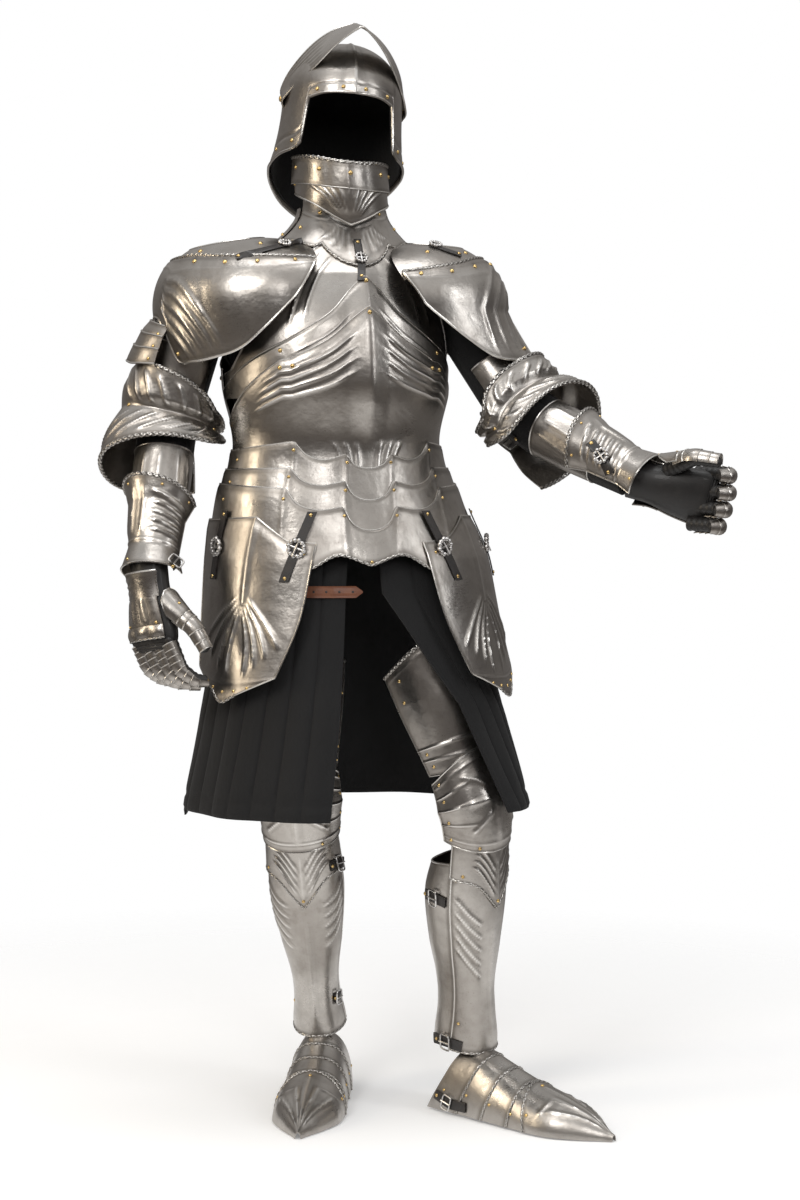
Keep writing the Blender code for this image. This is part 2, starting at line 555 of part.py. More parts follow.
def build_arms():
    """From the shoulder down: sleeve, lames, upper cannon, elbow guard, lower cannon and cuff."""
    for name, arm in ARMS.items():
        joints = (arm.shoulder, arm.elbow, arm.wrist)
        sleeve = Limb(joints, arm.fronts, SLEEVE, arm.outward)
        plate(f"sleeve_{name}", sleeve, (0, 360), (-0.236, 0.242), 10,
              [0, 0.22, 0.36, 0.46, 0.56, 0.70, 1], 0, CLOTH, finish=COAT)
        plate(f"rerebrace_{name}", sleeve, (-60, 200), (-0.137 + 1.4 * arm.lower, -0.050), 10, 3, 0.0052)
        over = Limb(joints, arm.fronts, LAMES, arm.outward)
        edges = ([Knot(0, 26), Knot(0.3, 36), Knot(0.45, 56), Knot(1, 62)],
                 [Knot(0, 140), Knot(0.3, 134), Knot(0.45, 116), Knot(1, 112)])
        foot = [Knot(0, -0.0965), Knot(0.3, -0.085), Knot(1, -0.085)]
        if name == "right":
            plate(f"pauldron_lames_{name}", over, edges, (foot, -0.160), 8, [0, 0.30, 0.34, 0.62, 0.66, 1], 0,
                  relief=lambda u, t: 0.0024 * (t < 0.32) + 0.0012 * (0.32 < t < 0.64))
        bell = Limb(joints, arm.fronts, COUTER, arm.outward)
        top = [Knot(0, -0.010), Knot(0.10, -0.040), Knot(0.18, -0.068), Knot(0.30, -0.088), Knot(0.55, -0.097),
               Knot(1, -0.080)]
        top = [Knot(knot.share, min(-0.010, knot.value + arm.lower)) for knot in top]
        low = [Knot(0, 0.016), Knot(0.14, 0.050), Knot(0.32, 0.055), Knot(0.50, 0.070), Knot(0.75, 0.092),
               Knot(1, 0.085)]
        fade = [Knot(0, 1), Knot(0.42, 0.3), Knot(0.5, 0), Knot(0.58, 0.3), Knot(1, 1)]
        lines, raised = flutes(0.10, 0.58, 5, 0.004, fade)
        plate(f"couter_{name}", bell, (-92, 205), (low, top), shares([0], lines, [0.70, 0.85, 1]),
              [0, 0.15, 0.42, 0.58, 0.8, 1], 0, relief=raised,
              swell=lambda u, t: -0.010 * max(0.0, 1 - abs(t - 0.5) / 0.2))
        plate(f"vambrace_{name}", sleeve, (-150, 150), (0.060, 0.180), 10, 3, 0.0050)
        flare = [Knot(0, 0.012), Knot(0.25, 0.002), Knot(0.75, 0.0022), Knot(1, 0.013)]
        plate(f"gauntlet_cuff_{name}", sleeve, (-90, 180), (0.272, [Knot(0, 0.150), Knot(0.5, 0.118), Knot(1, 0.145)]),
              9, 4, 0.0052, swell=lambda u, t: blend(flare, t))


Hand = namedtuple("Hand", "outward wrist knuckles back index little bends thumb thumb_bends reach")
HANDS = {
    "right": Hand(-1, (-0.326, -0.122, 0.930), (-0.316, -0.138, 0.828), (-0.55, -0.75, 0.1),
                  (-0.288, -0.158, 0.832), (-0.342, -0.112, 0.824),
                  ((0.38, -0.22, -0.90), (0.80, -0.05, -0.60), (0.95, 0.20, -0.15)),
                  (-0.300, -0.150, 0.900), ((0.75, -0.35, -0.60), (0.50, -0.20, -0.85)), -0.0475),
    "left": Hand(1, (0.492, -0.137, 1.096), (0.572, -0.158, 1.074), (0.20, 0.90, 0.35),
                 (0.578, -0.160, 1.112), (0.566, -0.160, 1.030),
                 ((0.80, -0.60, -0.05), (0.05, -1.0, -0.05), (-0.90, -0.40, 0.0)),
                 (0.520, -0.165, 1.118), ((0.55, -0.80, 0.27), (0.90, -0.40, -0.13)), -0.032),
}
PALM = [Ring(0.0, 0.030, 0.024, 0.024), Ring(0.05, 0.040, 0.022, 0.024), Ring(0.09, 0.044, 0.017, 0.018),
        Ring(0.115, 0.038, 0.011, 0.012)]
FINGER = [Ring(0.0, 0.0115, 0.0115, 0.0115), Ring(0.045, 0.0108, 0.0108, 0.0108), Ring(0.10, 0.0085, 0.0085, 0.0085)]


def tube(form, first, last, columns, rows, lift, relief=None):
    """A closed tube along a form, kept with the cutters, for joining."""
    shape = bmesh.new()
    bmesh.ops.create_grid(shape, x_segments=columns, y_segments=rows, size=0.5)
    for vert in shape.verts:
        share = vert.co.y + 0.5
        grow = lift + (relief(share) if relief else 0.0)
        vert.co = form.at(360 * (vert.co.x + 0.5), spread((first, last), share), grow)
    bmesh.ops.remove_doubles(shape, verts=shape.verts, dist=1e-6)
    bmesh.ops.holes_fill(shape, edges=shape.edges, sides=columns)
    bmesh.ops.recalc_face_normals(shape, faces=shape.faces)
    mesh = bpy.data.meshes.new("cutter")
    shape.to_mesh(mesh)
    shape.free()
    made = bpy.data.objects.new("cutter", mesh)
    bpy.data.collections["cutters"].objects.link(made)
    made.hide_render = True
    made.display_type = "WIRE"
    return made


def combine(base, others, operation):
    """The first solid joined with, or cut by, the others."""
    for other in others:
        cut = base.modifiers.new(operation.lower(), "BOOLEAN")
        cut.object = other
        cut.operation = operation
        cut.solver = "EXACT"
    bpy.context.view_layer.update()
    mesh = bpy.data.meshes.new_from_object(base.evaluated_get(bpy.context.evaluated_depsgraph_get()))
    base.modifiers.clear()
    base.data = mesh
    for other in others:
        bpy.data.objects.remove(other)
    return base


def finger_form(start, bends, lengths, side):
    points = [Vector(start)]
    for bend, length in zip(bends, lengths):
        points.append(points[-1] + Vector(bend).normalized() * length)
    return Limb(points, [side] * len(points), FINGER, 1, bend=0.008, start=0.0)


def build_hands():
    for name, hand in HANDS.items():
        palm = Limb((hand.wrist, hand.knuckles), (hand.back, hand.back), PALM, hand.outward, start=0.0)
        across = Vector(hand.index) - Vector(hand.little)
        digits = []
        for k in range(4):
            start = Vector(hand.little) + across * (k / 3) - Vector(hand.bends[0]).normalized() * 0.012
            size = (0.86, 0.96, 1.0, 0.94)[k]
            digits.append((finger_form(start, hand.bends, [0.058 * size, 0.030 * size, 0.024 * size], across), 0.111 * size))
        thumb = finger_form(hand.thumb, hand.thumb_bends, [0.066, 0.046], across)
        digits.append((thumb, 0.112))

        def scale(share):
            return 0.0009 * (round(share * 5) % 2)

        outer = tube(palm, hand.reach, 0.108, 8, 4, 0.0028)
        combine(outer, [tube(form, 0, length, 6, 5, 0.0005, scale) for form, length in digits], "UNION")
        hollow = tube(palm, hand.reach - 0.01, 0.102, 8, 3, 0.0)
        combine(hollow, [tube(form, 0.002, 0.6 * length, 4, 2, -0.0018) for form, length in digits], "UNION")
        combine(outer, [hollow], "DIFFERENCE")
        mesh = outer.data
        mesh.name = f"glove_{name}"
        bpy.data.objects.remove(outer)
        node(f"glove_{name}", mesh, HIDE)
        plate(f"thumb_plates_{name}", thumb, (-100, 100), (0.034, 0.108), 6, [0, 0.3, 0.34, 0.64, 0.68, 1],
              0.0034 if name == "right" else 0.0048,
              relief=lambda u, t: 0.0012 * (2 - (t > 0.32) - (t > 0.66)))
        plate(f"hand_plate_{name}", palm, (-28, 62), (-0.012, 0.073), 6, [0, 0.35, 0.4, 0.75, 0.8, 1], 0.0037,
              relief=lambda u, t: 0.0014 * (0.37 < t < 0.78) + 0.0008 * (t > 0.78))


Leg = namedtuple("Leg", "outward hip knee ankle fronts heel toe instep shin")
LEGS = {
    "right": Leg(-1, (-0.095, 0.040, 0.930), (-0.0905, 0.070, 0.530), (-0.058, 0.200, 0.113),
                 ((-0.1, -1, 0), (-0.1, -1, 0), (-0.08, -1, 0)), (-0.045, 0.272, 0.0), (-0.084, -0.100, 0.0), 0.112, 0.4229),
    "left": Leg(1, (0.080, 0.030, 0.930), (0.2137, -0.030, 0.545), (0.197, 0.075, 0.113),
                ((0.5, -0.86, 0), (0.75, -0.66, 0), (0.79, -0.61, 0)), (0.138, 0.118, 0.0), (0.4610, -0.150, 0.0), 0.098, 0.4362),
}
LEG = [Ring(-0.40, 0.085, 0.088, 0.088), Ring(-0.20, 0.078, 0.080, 0.084), Ring(-0.08, 0.066, 0.056, 0.070),
       Ring(0.0, 0.060, 0.048, 0.062), Ring(0.08, 0.064, 0.050, 0.070), Ring(0.16, 0.067, 0.054, 0.088),
       Ring(0.25, 0.056, 0.052, 0.078), Ring(0.32, 0.044, 0.050, 0.060), Ring(0.37, 0.043, 0.056, 0.054),
       Ring(0.42, 0.049, 0.062, 0.056)]
FOOT = [Ring(0.0, 0.034, 0.075, 0), Ring(0.06, 0.043, 0.105, 0), Ring(0.12, 0.048, 0.107, 0),
        Ring(0.18, 0.052, 0.086, 0), Ring(0.24, 0.056, 0.064, 0), Ring(0.30, 0.053, 0.049, 0),
        Ring(0.345, 0.033, 0.034, 0), Ring(0.395, 0.004, 0.010, 0)]


def build_legs():
    """From the hip down: thigh plate, knee guard and its pointed lame, greave halves and shoe."""
    for name, leg in LEGS.items():
        form = Limb((leg.hip, leg.knee, leg.ankle), leg.fronts, LEG, leg.outward)
        plate(f"cuisse_{name}", form, (-100, 115), ([Knot(0, -0.075), Knot(0.5, -0.060), Knot(1, -0.080)],
              [Knot(0, -0.255), Knot(0.5, -0.300), Knot(1, -0.275)]), 12, 4, 0)
        lines, raised = flutes(0.32, 0.68, 2, 0.003)
        bulge = [Knot(0, 0), Knot(0.15, 0.003), Knot(0.5, 0.009), Knot(0.85, 0.003), Knot(1, 0)]
        plate(f"poleyn_{name}", form, (-100, 112), ([Knot(0, 0.045), Knot(0.45, 0.060), Knot(0.75, 0.055),
              Knot(1, 0.035)], [Knot(0, -0.060), Knot(0.45, -0.095), Knot(0.75, -0.085), Knot(1, -0.050)]),
              shares([0, 0.1, 0.2, 0.8, 0.9, 1], lines), [0, 0.15, 0.35, 0.65, 0.85, 1], 0.0034,
              relief=lambda u, t: raised(u, t) * (0.2 < t < 0.8), swell=lambda u, t: blend(bulge, t))
        lines, raised = flutes(0.25, 0.75, 3, 0.003)
        plate(f"knee_lame_{name}", form, (-88, 88), ([Knot(0, 0.108), Knot(0.3, 0.120), Knot(0.5, 0.168),
              Knot(0.7, 0.120), Knot(1, 0.108)], 0.030), shares([0, 0.12, 0.88, 1], lines), [0, 0.2, 0.45, 0.5, 1],
              -0.0002, relief=lambda u, t: raised(u, t) * (t < 0.47))
        lines, raised = flutes(0.10, 0.42, 3, 0.003, [Knot(0, 0), Knot(0.45, 0), Knot(0.6, 1), Knot(0.8, 0)])
        plate(f"greave_front_{name}", form, (-87, 87), (leg.shin, 0.075), shares([0, 0.54, 0.68, 0.84, 1], lines),
              [0, 0.12, 0.28, 0.48, 0.68, 0.84, 1], -0.0035, relief=raised)
        plate(f"greave_back_{name}", form, (87.45, 272.55), ([Knot(0, 0.420), Knot(0.5, 0.450), Knot(1, 0.420)],
              [Knot(0, 0.085), Knot(0.5, 0.110), Knot(1, 0.085)]), 8, [0, 0.12, 0.28, 0.48, 0.68, 0.84, 1], -0.0035)
        foot = Limb((leg.heel, leg.toe), ((0, 0, 1), (0, 0, 1)), FOOT, leg.outward, bend=0.01, start=0.0)
        steps = [0, 0.32, 0.35, 0.65, 0.68, 1]
        plate(f"sabaton_lames_{name}", foot, (-88, 88), ([Knot(0, 0.030), Knot(0.2, 0.070), Knot(0.5, leg.instep),
              Knot(0.8, 0.070), Knot(1, 0.030)], 0.255), 10, steps, 0.0030,
              relief=lambda u, t: 0.0014 * (2 - (t > 0.33) - (t > 0.66)))
        lines, raised = flutes(0.2, 0.8, 2, 0.004, [Knot(0, 0), Knot(0.14, 0), Knot(0.3, 1), Knot(1, 0)])
        plate(f"sabaton_toe_{name}", foot, (-88, 88), (0.238, 0.394), shares([0, 0.1, 0.9, 1], lines),
              [0, 0.14, 0.3, 0.5, 0.7, 0.9, 1], 0.0, relief=raised)


def clear_scene():
    for thing in list(bpy.data.objects):
        bpy.data.objects.remove(thing)
    for name in ("suit_of_armour", "cutters"):
        bpy.context.scene.collection.children.link(bpy.data.collections.new(name))
    bpy.data.collections["cutters"].hide_render = True


def main():
    clear_scene()
    trunk = Trunk(TORSO)
    build_breast(trunk)
    build_faulds(trunk)
    build_tassets(trunk)
    build_coat(trunk)
    build_helmet()
    build_neck(trunk)
    build_pauldrons()
    build_arms()
    build_hands()
    build_legs()


main()
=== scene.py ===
"""The looks of a suit of plate armour over its quilted arming coat.

Each plate of the frame is rebuilt as a fine patch of the same tube or dome, with its flutes, its roped
or rolled edges and its rivets, and stands for the frame's plain plate. Heights in the tables of the
trunk are metres above the ground; the frame's origin is between the shoulders.
"""

import logging
import math
from dataclasses import dataclass, field
from enum import Enum
from typing import Callable, Optional, Protocol, Sequence, Union

import bmesh
import bpy
from mathutils import Matrix, Vector
from mathutils.bvhtree import BVHTree


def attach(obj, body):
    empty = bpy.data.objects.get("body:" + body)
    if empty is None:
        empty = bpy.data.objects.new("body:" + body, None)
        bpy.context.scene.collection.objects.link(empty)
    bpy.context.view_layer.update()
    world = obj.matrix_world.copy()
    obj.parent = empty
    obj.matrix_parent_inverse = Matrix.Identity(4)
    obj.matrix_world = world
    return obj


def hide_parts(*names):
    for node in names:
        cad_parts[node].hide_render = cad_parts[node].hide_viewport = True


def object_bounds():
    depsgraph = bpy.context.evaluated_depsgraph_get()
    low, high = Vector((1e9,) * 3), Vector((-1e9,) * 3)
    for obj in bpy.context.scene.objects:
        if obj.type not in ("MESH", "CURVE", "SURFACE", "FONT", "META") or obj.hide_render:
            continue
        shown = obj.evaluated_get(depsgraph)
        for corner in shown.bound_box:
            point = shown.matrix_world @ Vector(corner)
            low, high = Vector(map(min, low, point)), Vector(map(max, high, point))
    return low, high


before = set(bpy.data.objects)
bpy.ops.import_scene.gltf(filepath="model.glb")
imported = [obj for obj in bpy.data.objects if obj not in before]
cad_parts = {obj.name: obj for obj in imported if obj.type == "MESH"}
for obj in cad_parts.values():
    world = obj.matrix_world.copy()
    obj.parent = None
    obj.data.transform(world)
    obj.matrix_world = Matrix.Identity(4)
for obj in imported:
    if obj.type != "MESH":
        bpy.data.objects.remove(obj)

CAD_BOX = [[float(number) for number in corner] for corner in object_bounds()]
LOG = logging.getLogger("suit_of_armour")
ORIGIN = Vector((-0.020, 0.030, 1.470))
VIEW_WIDE, VIEW_TALL = 800, 1200
SENSOR = 36
# how strongly the relief's curvature paints shade into hollows and highlight onto ridges
HOLLOW_GAIN = 0.011
# the painted shade over the insides of plates and cloth
INSIDE_SHADE = 0.35
FLUTE_REACH, FLUTE_RISE = 0.80, 0.72
# strength and width of the painted shade beside the rims and round the rivets, where they meet the plate
RIM_SHADE, RIM_SHADE_WIDTH = 0.55, 0.0034
RIVET_SHADE, RIVET_SHADE_WIDTH = 0.35, 0.0065
TIP_DEPTH = 0.0082
PLATE = 0.0016
CLOTH = 0.0030
LEATHER = 0.0024
LAYER = 0.0044

Pair = tuple[float, float]
Table = tuple[Pair, ...]
Shape = Callable[[float, float], float]
Edge = Union[float, Table, "Curve"]


class Side(Enum):
    """The four edges of a plate."""

    TOP = "top"
    LOW = "low"
    FIRST = "first"
    LAST = "last"


class RimStyle(Enum):
    """How an edge is finished."""

    ROPE = "rope"
    ROLL = "roll"


def blend(knots: Sequence[Pair], share: float) -> float:
    """Read a short table at a share.

    Args:
        knots: Pairs of a share and a value, in order.
        share: Where to read.

    Returns:
        The value, straight between knots.
    """
    if share <= knots[0][0]:
        return knots[0][1]
    for (start, low), (end, high) in zip(knots, knots[1:]):
        if share <= end:
            return low + (high - low) * (share - start) / (end - start)
    return knots[-1][1]


@dataclass(frozen=True)
class Curve:
    """A smooth line through pairs of share and value, which may turn sharply at some of them."""

    knots: Table
    sharp: tuple[float, ...] = ()

    def slope(self, k: int, ahead: bool) -> float:
        """Give the slope at a knot, from the side that is asked for where the line turns sharply."""
        last = len(self.knots) - 1
        if k == 0 or k == last or any(abs(self.knots[k][0] - place) < 1e-4 for place in self.sharp):
            j = min(last - 1, k) if ahead else max(0, k - 1)
            return (self.knots[j + 1][1] - self.knots[j][1]) / (self.knots[j + 1][0] - self.knots[j][0])
        return (self.knots[k + 1][1] - self.knots[k - 1][1]) / (self.knots[k + 1][0] - self.knots[k - 1][0])

    def at(self, share: float) -> float:
        """Read the line at a share."""
        if share <= self.knots[0][0]:
            return self.knots[0][1]
        if share >= self.knots[-1][0]:
            return self.knots[-1][1]
        k = next(i for i in range(len(self.knots) - 1) if share <= self.knots[i + 1][0])
        (start, low), (end, high) = self.knots[k], self.knots[k + 1]
        size = end - start
        x = (share - start) / size
        return (
            (2 * x ** 3 - 3 * x * x + 1) * low + (x ** 3 - 2 * x * x + x) * size * self.slope(k, True)
            + (3 * x * x - 2 * x ** 3) * high + (x ** 3 - x * x) * size * self.slope(k + 1, False)
        )


def read(edge: Edge, share: float) -> float:
    """Read an edge, which is a number, a table or a curve, at a share."""
    if isinstance(edge, Curve):
        return edge.at(share)
    return blend(edge, share) if isinstance(edge, tuple) else edge


def both(half: Sequence[Pair], edge: float, sharp: Sequence[float] = ()) -> Curve:
    """Make the line across a plate from pairs of angle and value of one half.

    Args:
        half: Angles from the middle, and values.
        edge: The angle of the plate's edge.
        sharp: The angles where the line turns sharply.

    Returns:
        The line by share, from the first edge to the last.
    """
    left = [(0.5 + 0.5 * angle / edge, number) for angle, number in half]
    turns = tuple(0.5 + side * angle / edge / 2 for angle in sharp for side in (-1, 1))
    return Curve(tuple([(1 - share, number) for share, number in left[:0:-1]] + left), turns)


def run_through(rows: Sequence[tuple[float, ...]], at: float) -> tuple[float, ...]:
    """Read the fields of a table of rows at a place along it.

    Args:
        rows: Rows whose first field is their place.
        at: The place to read.

    Returns:
        The fields, by a smooth curve through the rows.
    """
    order = 1 if rows[-1][0] > rows[0][0] else -1
    if (at - rows[0][0]) * order <= 0:
        return rows[0]
    if (at - rows[-1][0]) * order >= 0:
        return rows[-1]
    k = next(i for i in range(len(rows) - 1) if (rows[i + 1][0] - at) * order >= 0)
    a, b, c, d = (rows[max(0, min(len(rows) - 1, k + j))] for j in (-1, 0, 1, 2))
    x = (at - b[0]) / (c[0] - b[0])
    return tuple(
        0.5 * (2 * q + (r - p) * x + (2 * p - 5 * q + 4 * r - s) * x * x + (3 * q - p - 3 * r + s) * x ** 3)
        for p, q, r, s in zip(a, b, c, d)
    )


def oval(angle: float, width: float, front: float, back: float, fullness: float = 2.15) -> Pair:
    """Give the sideways and forward reach of an oval section at an angle from its front, in degrees."""
    sine, cosine = math.sin(math.radians(angle)), math.cos(math.radians(angle))
    power = 2 / fullness
    return (
        math.copysign(abs(sine) ** power, sine) * width,
        math.copysign(abs(cosine) ** power, cosine) * (front if cosine > 0 else back),
    )


def eased(share: float) -> float:
    """Turn a share into one that starts and ends gently."""
    share = max(0.0, min(1.0, share))
    return share * share * (3 - 2 * share)


class Form(Protocol):
    """Anything that a plate can lie on."""

    def at(self, angle: float, along: float, lift: float) -> Vector:
        """Give the place at an angle and a distance along the form, lifted off it."""


@dataclass(frozen=True)
class Trunk:
    """The upright form of the torso and the skirt; rows are height, half width, front, back, turn, x, y."""

    rows: tuple[tuple[float, ...], ...]
    lean: float = 0.0

    def at(self, angle: float, along: float, lift: float) -> Vector:
        """Give the place at an angle from the front and a height above the ground."""
        _, width, front, back, turned, x0, y0 = run_through(self.rows, along)
        turn = math.radians(turned)
        side, fore = oval(angle, width + lift, front + lift, back + lift)
        x = x0 + side * math.cos(turn) + fore * math.sin(turn)
        y = y0 + side * math.sin(turn) - fore * math.cos(turn)
        return Vector((x, y, along - self.lean * (x - x0))) - ORIGIN


class Limb:
    """A bent axis through joints, with a front direction at each, and oval rings along it."""

    def __init__(self, joints: Sequence[Sequence[float]], fronts: Sequence[Sequence[float]],
                 rings: tuple[tuple[float, ...], ...], outward: int = 1, bend: float = 0.045,
                 start: Optional[float] = None) -> None:
        """Lay the axis.

        Args:
            joints: The points of the axis.
            fronts: The front direction at each point.
            rings: Rows of distance, width, front and back.
            outward: Which way its side points, 1 or -1.
            bend: How far each side of a joint the axis rounds it.
            start: The distance at the first point, by default so that the second is at zero.
        """
        self.joints = [Vector(joint) for joint in joints]
        self.fronts = [Vector(front).normalized() for front in fronts]
        self.rings = rings
        self.outward = outward
        self.bend = bend
        self.stops = [-(self.joints[1] - self.joints[0]).length if start is None else start]
        for first, second in zip(self.joints, self.joints[1:]):
            self.stops.append(self.stops[-1] + (second - first).length)
        self.known: dict[float, tuple[Vector, Vector, Vector, Vector]] = {}

    def straight(self, along: float) -> Vector:
        """Give the point of the unrounded axis at a distance along it, run on past both ends."""
        k = 0
        while k < len(self.stops) - 2 and along > self.stops[k + 1]:
            k += 1
        part = (along - self.stops[k]) / (self.stops[k + 1] - self.stops[k])
        return self.joints[k].lerp(self.joints[k + 1], part)

    def frame(self, along: float) -> tuple[Vector, Vector, Vector, Vector]:
        """Give the centre, side, front and direction of the axis at a distance along it."""
        key = round(along, 5)
        if key not in self.known:
            points = [self.straight(key + self.bend * step / 4) for step in range(-4, 5)]
            direction = (points[-1] - points[0]).normalized()
            place = blend([(stop, float(k)) for k, stop in enumerate(self.stops)], key)
            k = min(int(place), len(self.fronts) - 2)
            front = self.fronts[k].lerp(self.fronts[k + 1], place - k)
            front = (front - direction * front.dot(direction)).normalized()
            centre = sum(points, Vector()) / len(points)
            self.known[key] = (centre, front.cross(direction) * self.outward, front, direction)
        return self.known[key]

    def at(self, angle: float, along: float, lift: float) -> Vector:
        """Give the place at an angle from the front, toward the outside, and a distance along the axis."""
        centre, side, front, _ = self.frame(along)
        _, width, ahead, behind = run_through(self.rings, along)
        wide, fore = oval(angle, width + lift, ahead + lift, behind + lift)
        return centre + side * wide + front * fore - ORIGIN


@dataclass(frozen=True)
class Dome:
    """A rounded shell about a centre: angles go round it from the front, rises go up it, in degrees."""

    size: tuple[float, float, float, float]
    centre: tuple[float, float, float]
    turn: float
    tilt: float
    lean: float
    flare: Table
    reach: Optional[Table] = None
    outward: int = 1
    drift: float = 0.0

    def matrix(self) -> Matrix:
        """Give the shell's turn about its centre."""
        return (
            Matrix.Rotation(math.radians(self.tilt), 3, "Y")
            @ Matrix.Rotation(math.radians(self.turn), 3, "Z")
            @ Matrix.Rotation(math.radians(self.lean), 3, "X")
        )

    def at(self, angle: float, along: float, lift: float) -> Vector:
        """Give the place at an angle round the shell and a rise up it."""
        half_width, front, back, top = self.size
        flare = blend(self.flare, angle if self.reach else 180 - abs(180 - angle % 360))
        if along > 0:
            up = math.sin(math.radians(along)) * (top + lift)
            level = math.cos(math.radians(along))
        else:
            up = math.radians(along) * top
            level = 1 + flare * (up / 0.1) ** 2
        if self.reach:
            radius = run_through(self.reach, angle)[1] + lift
            side, fore = radius * math.sin(math.radians(angle)), radius * math.cos(math.radians(angle))
        else:
            side, fore = oval(angle, half_width + lift, front + lift, back + lift, 2.0)
        side = side * level - min(0.0, up) * self.drift
        place = Vector((side * self.outward, -fore * level, up))
        return Vector(self.centre) + self.matrix() @ place - ORIGIN


class Wire:
    """A socket of a shader, which arithmetic can be written with."""

    def __init__(self, tree: bpy.types.NodeTree, socket: bpy.types.NodeSocket) -> None:
        """Keep the node tree and the socket."""
        self.tree, self.socket = tree, socket

    def sum(self, kind: str, first: "Wire | float", second: "Wire | float") -> "Wire":
        """Make a Math node of one kind on two values."""
        return Nodes(self.tree).make("ShaderNodeMath", {"operation": kind}, {0: first, 1: second})

    def __add__(self, other: "Wire | float") -> "Wire":
        """Add."""
        return self.sum("ADD", self, other)

    __radd__ = __add__

    def __sub__(self, other: "Wire | float") -> "Wire":
        """Take away."""
        return self.sum("SUBTRACT", self, other)

    def __rsub__(self, other: "Wire | float") -> "Wire":
        """Take this away."""
        return self.sum("SUBTRACT", other, self)

    def __mul__(self, other: "Wire | float") -> "Wire":
        """Multiply."""
        return self.sum("MULTIPLY", self, other)

    __rmul__ = __mul__

    def __pow__(self, other: "Wire | float") -> "Wire":
        """Raise to a power."""
        return self.sum("POWER", self, other)

    def within(self, low: float, high: float) -> "Wire":
        """Give how far the value is from low to high, kept from 0 to 1."""
        return Nodes(self.tree).make("ShaderNodeMapRange", {}, {0: self, 1: low, 2: high, 3: 0.0, 4: 1.0})


class Nodes:
    """The nodes of one material or world."""

    def __init__(self, tree: bpy.types.NodeTree) -> None:
        """Keep the node tree."""
        self.tree = tree

    def make(self, kind: str, settings: dict, sockets: dict, out: Union[int, str] = 0) -> Wire:
        """Make a node.

        Args:
            kind: The node's type.
            settings: What is set on the node first; stops are those of a colour ramp.
            sockets: Values or links of its sockets, by name or number.
            out: The socket to give back.

        Returns:
            The node's output.
        """
        made = self.tree.nodes.new(kind)
        for name, setting in settings.items():
            if name == "stops":
                while len(made.color_ramp.elements) < len(setting):
                    made.color_ramp.elements.new(0.5)
                for element, (place, colour) in zip(made.color_ramp.elements, setting):
                    element.position = place
                    element.color = (*colour, 1) if isinstance(colour, tuple) else (colour, colour, colour, 1)
            else:
                setattr(made, name, setting)
        for name, given in sockets.items():
            self.join(made.inputs[name], given)
        return Wire(self.tree, made.outputs[out])

    def join(self, socket: bpy.types.NodeSocket, given: object) -> None:
        """Link a wire to a socket, or set its value."""
        if isinstance(given, Wire):
            self.tree.links.new(given.socket, socket)
        elif isinstance(given, tuple) and len(given) == 3 and socket.type == "RGBA":
            socket.default_value = (*given, 1)
        else:
            socket.default_value = given

    def mix(self, share: "Wire | float", first: object, second: object) -> Wire:
        """Mix two colours."""
        return self.make("ShaderNodeMix", {"data_type": "RGBA"}, {0: share, 6: first, 7: second}, 2)

    def noise(self, place: Wire, scale: float, detail: float = 4.0, rough: float = 0.55,
              stretch: Sequence[float] = (1, 1, 1)) -> Wire:
        """Make noise at a scale, stretched along an axis where it is asked for."""
        moved = self.make("ShaderNodeMapping", {}, {"Vector": place, "Scale": tuple(stretch)})
        return self.make("ShaderNodeTexNoise", {}, {"Vector": moved, "Scale": scale, "Detail": detail,
                                                    "Roughness": rough})

    def place(self) -> Wire:
        """Give the object's own coordinates."""
        return self.make("ShaderNodeTexCoord", {}, {}, "Object")

    def bump(self, height: Wire, strength: float, distance: float, under: Optional[Wire] = None) -> Wire:
        """Turn a height into a surface direction, over another one where it is given."""
        sockets = {"Height": height, "Strength": strength, "Distance": distance}
        if under:
            sockets["Normal"] = under
        return self.make("ShaderNodeBump", {}, sockets)


@dataclass(frozen=True)
class Finish:
    """What every finish shares: a name, and a shader that is given its sockets."""

    name: str

    def sockets(self, nodes: Nodes) -> dict:
        """Give the shader's sockets by name."""
        raise NotImplementedError

    def material(self) -> bpy.types.Material:
        """Make the material once, and give it back."""
        made = bpy.data.materials.get(self.name)
        if made is None:
            made = bpy.data.materials.new(self.name)
            made.use_nodes = True
            shader = made.node_tree.nodes["Principled BSDF"]
            nodes = Nodes(made.node_tree)
            for name, given in self.sockets(nodes).items():
                nodes.join(shader.inputs[name], given)
        return made


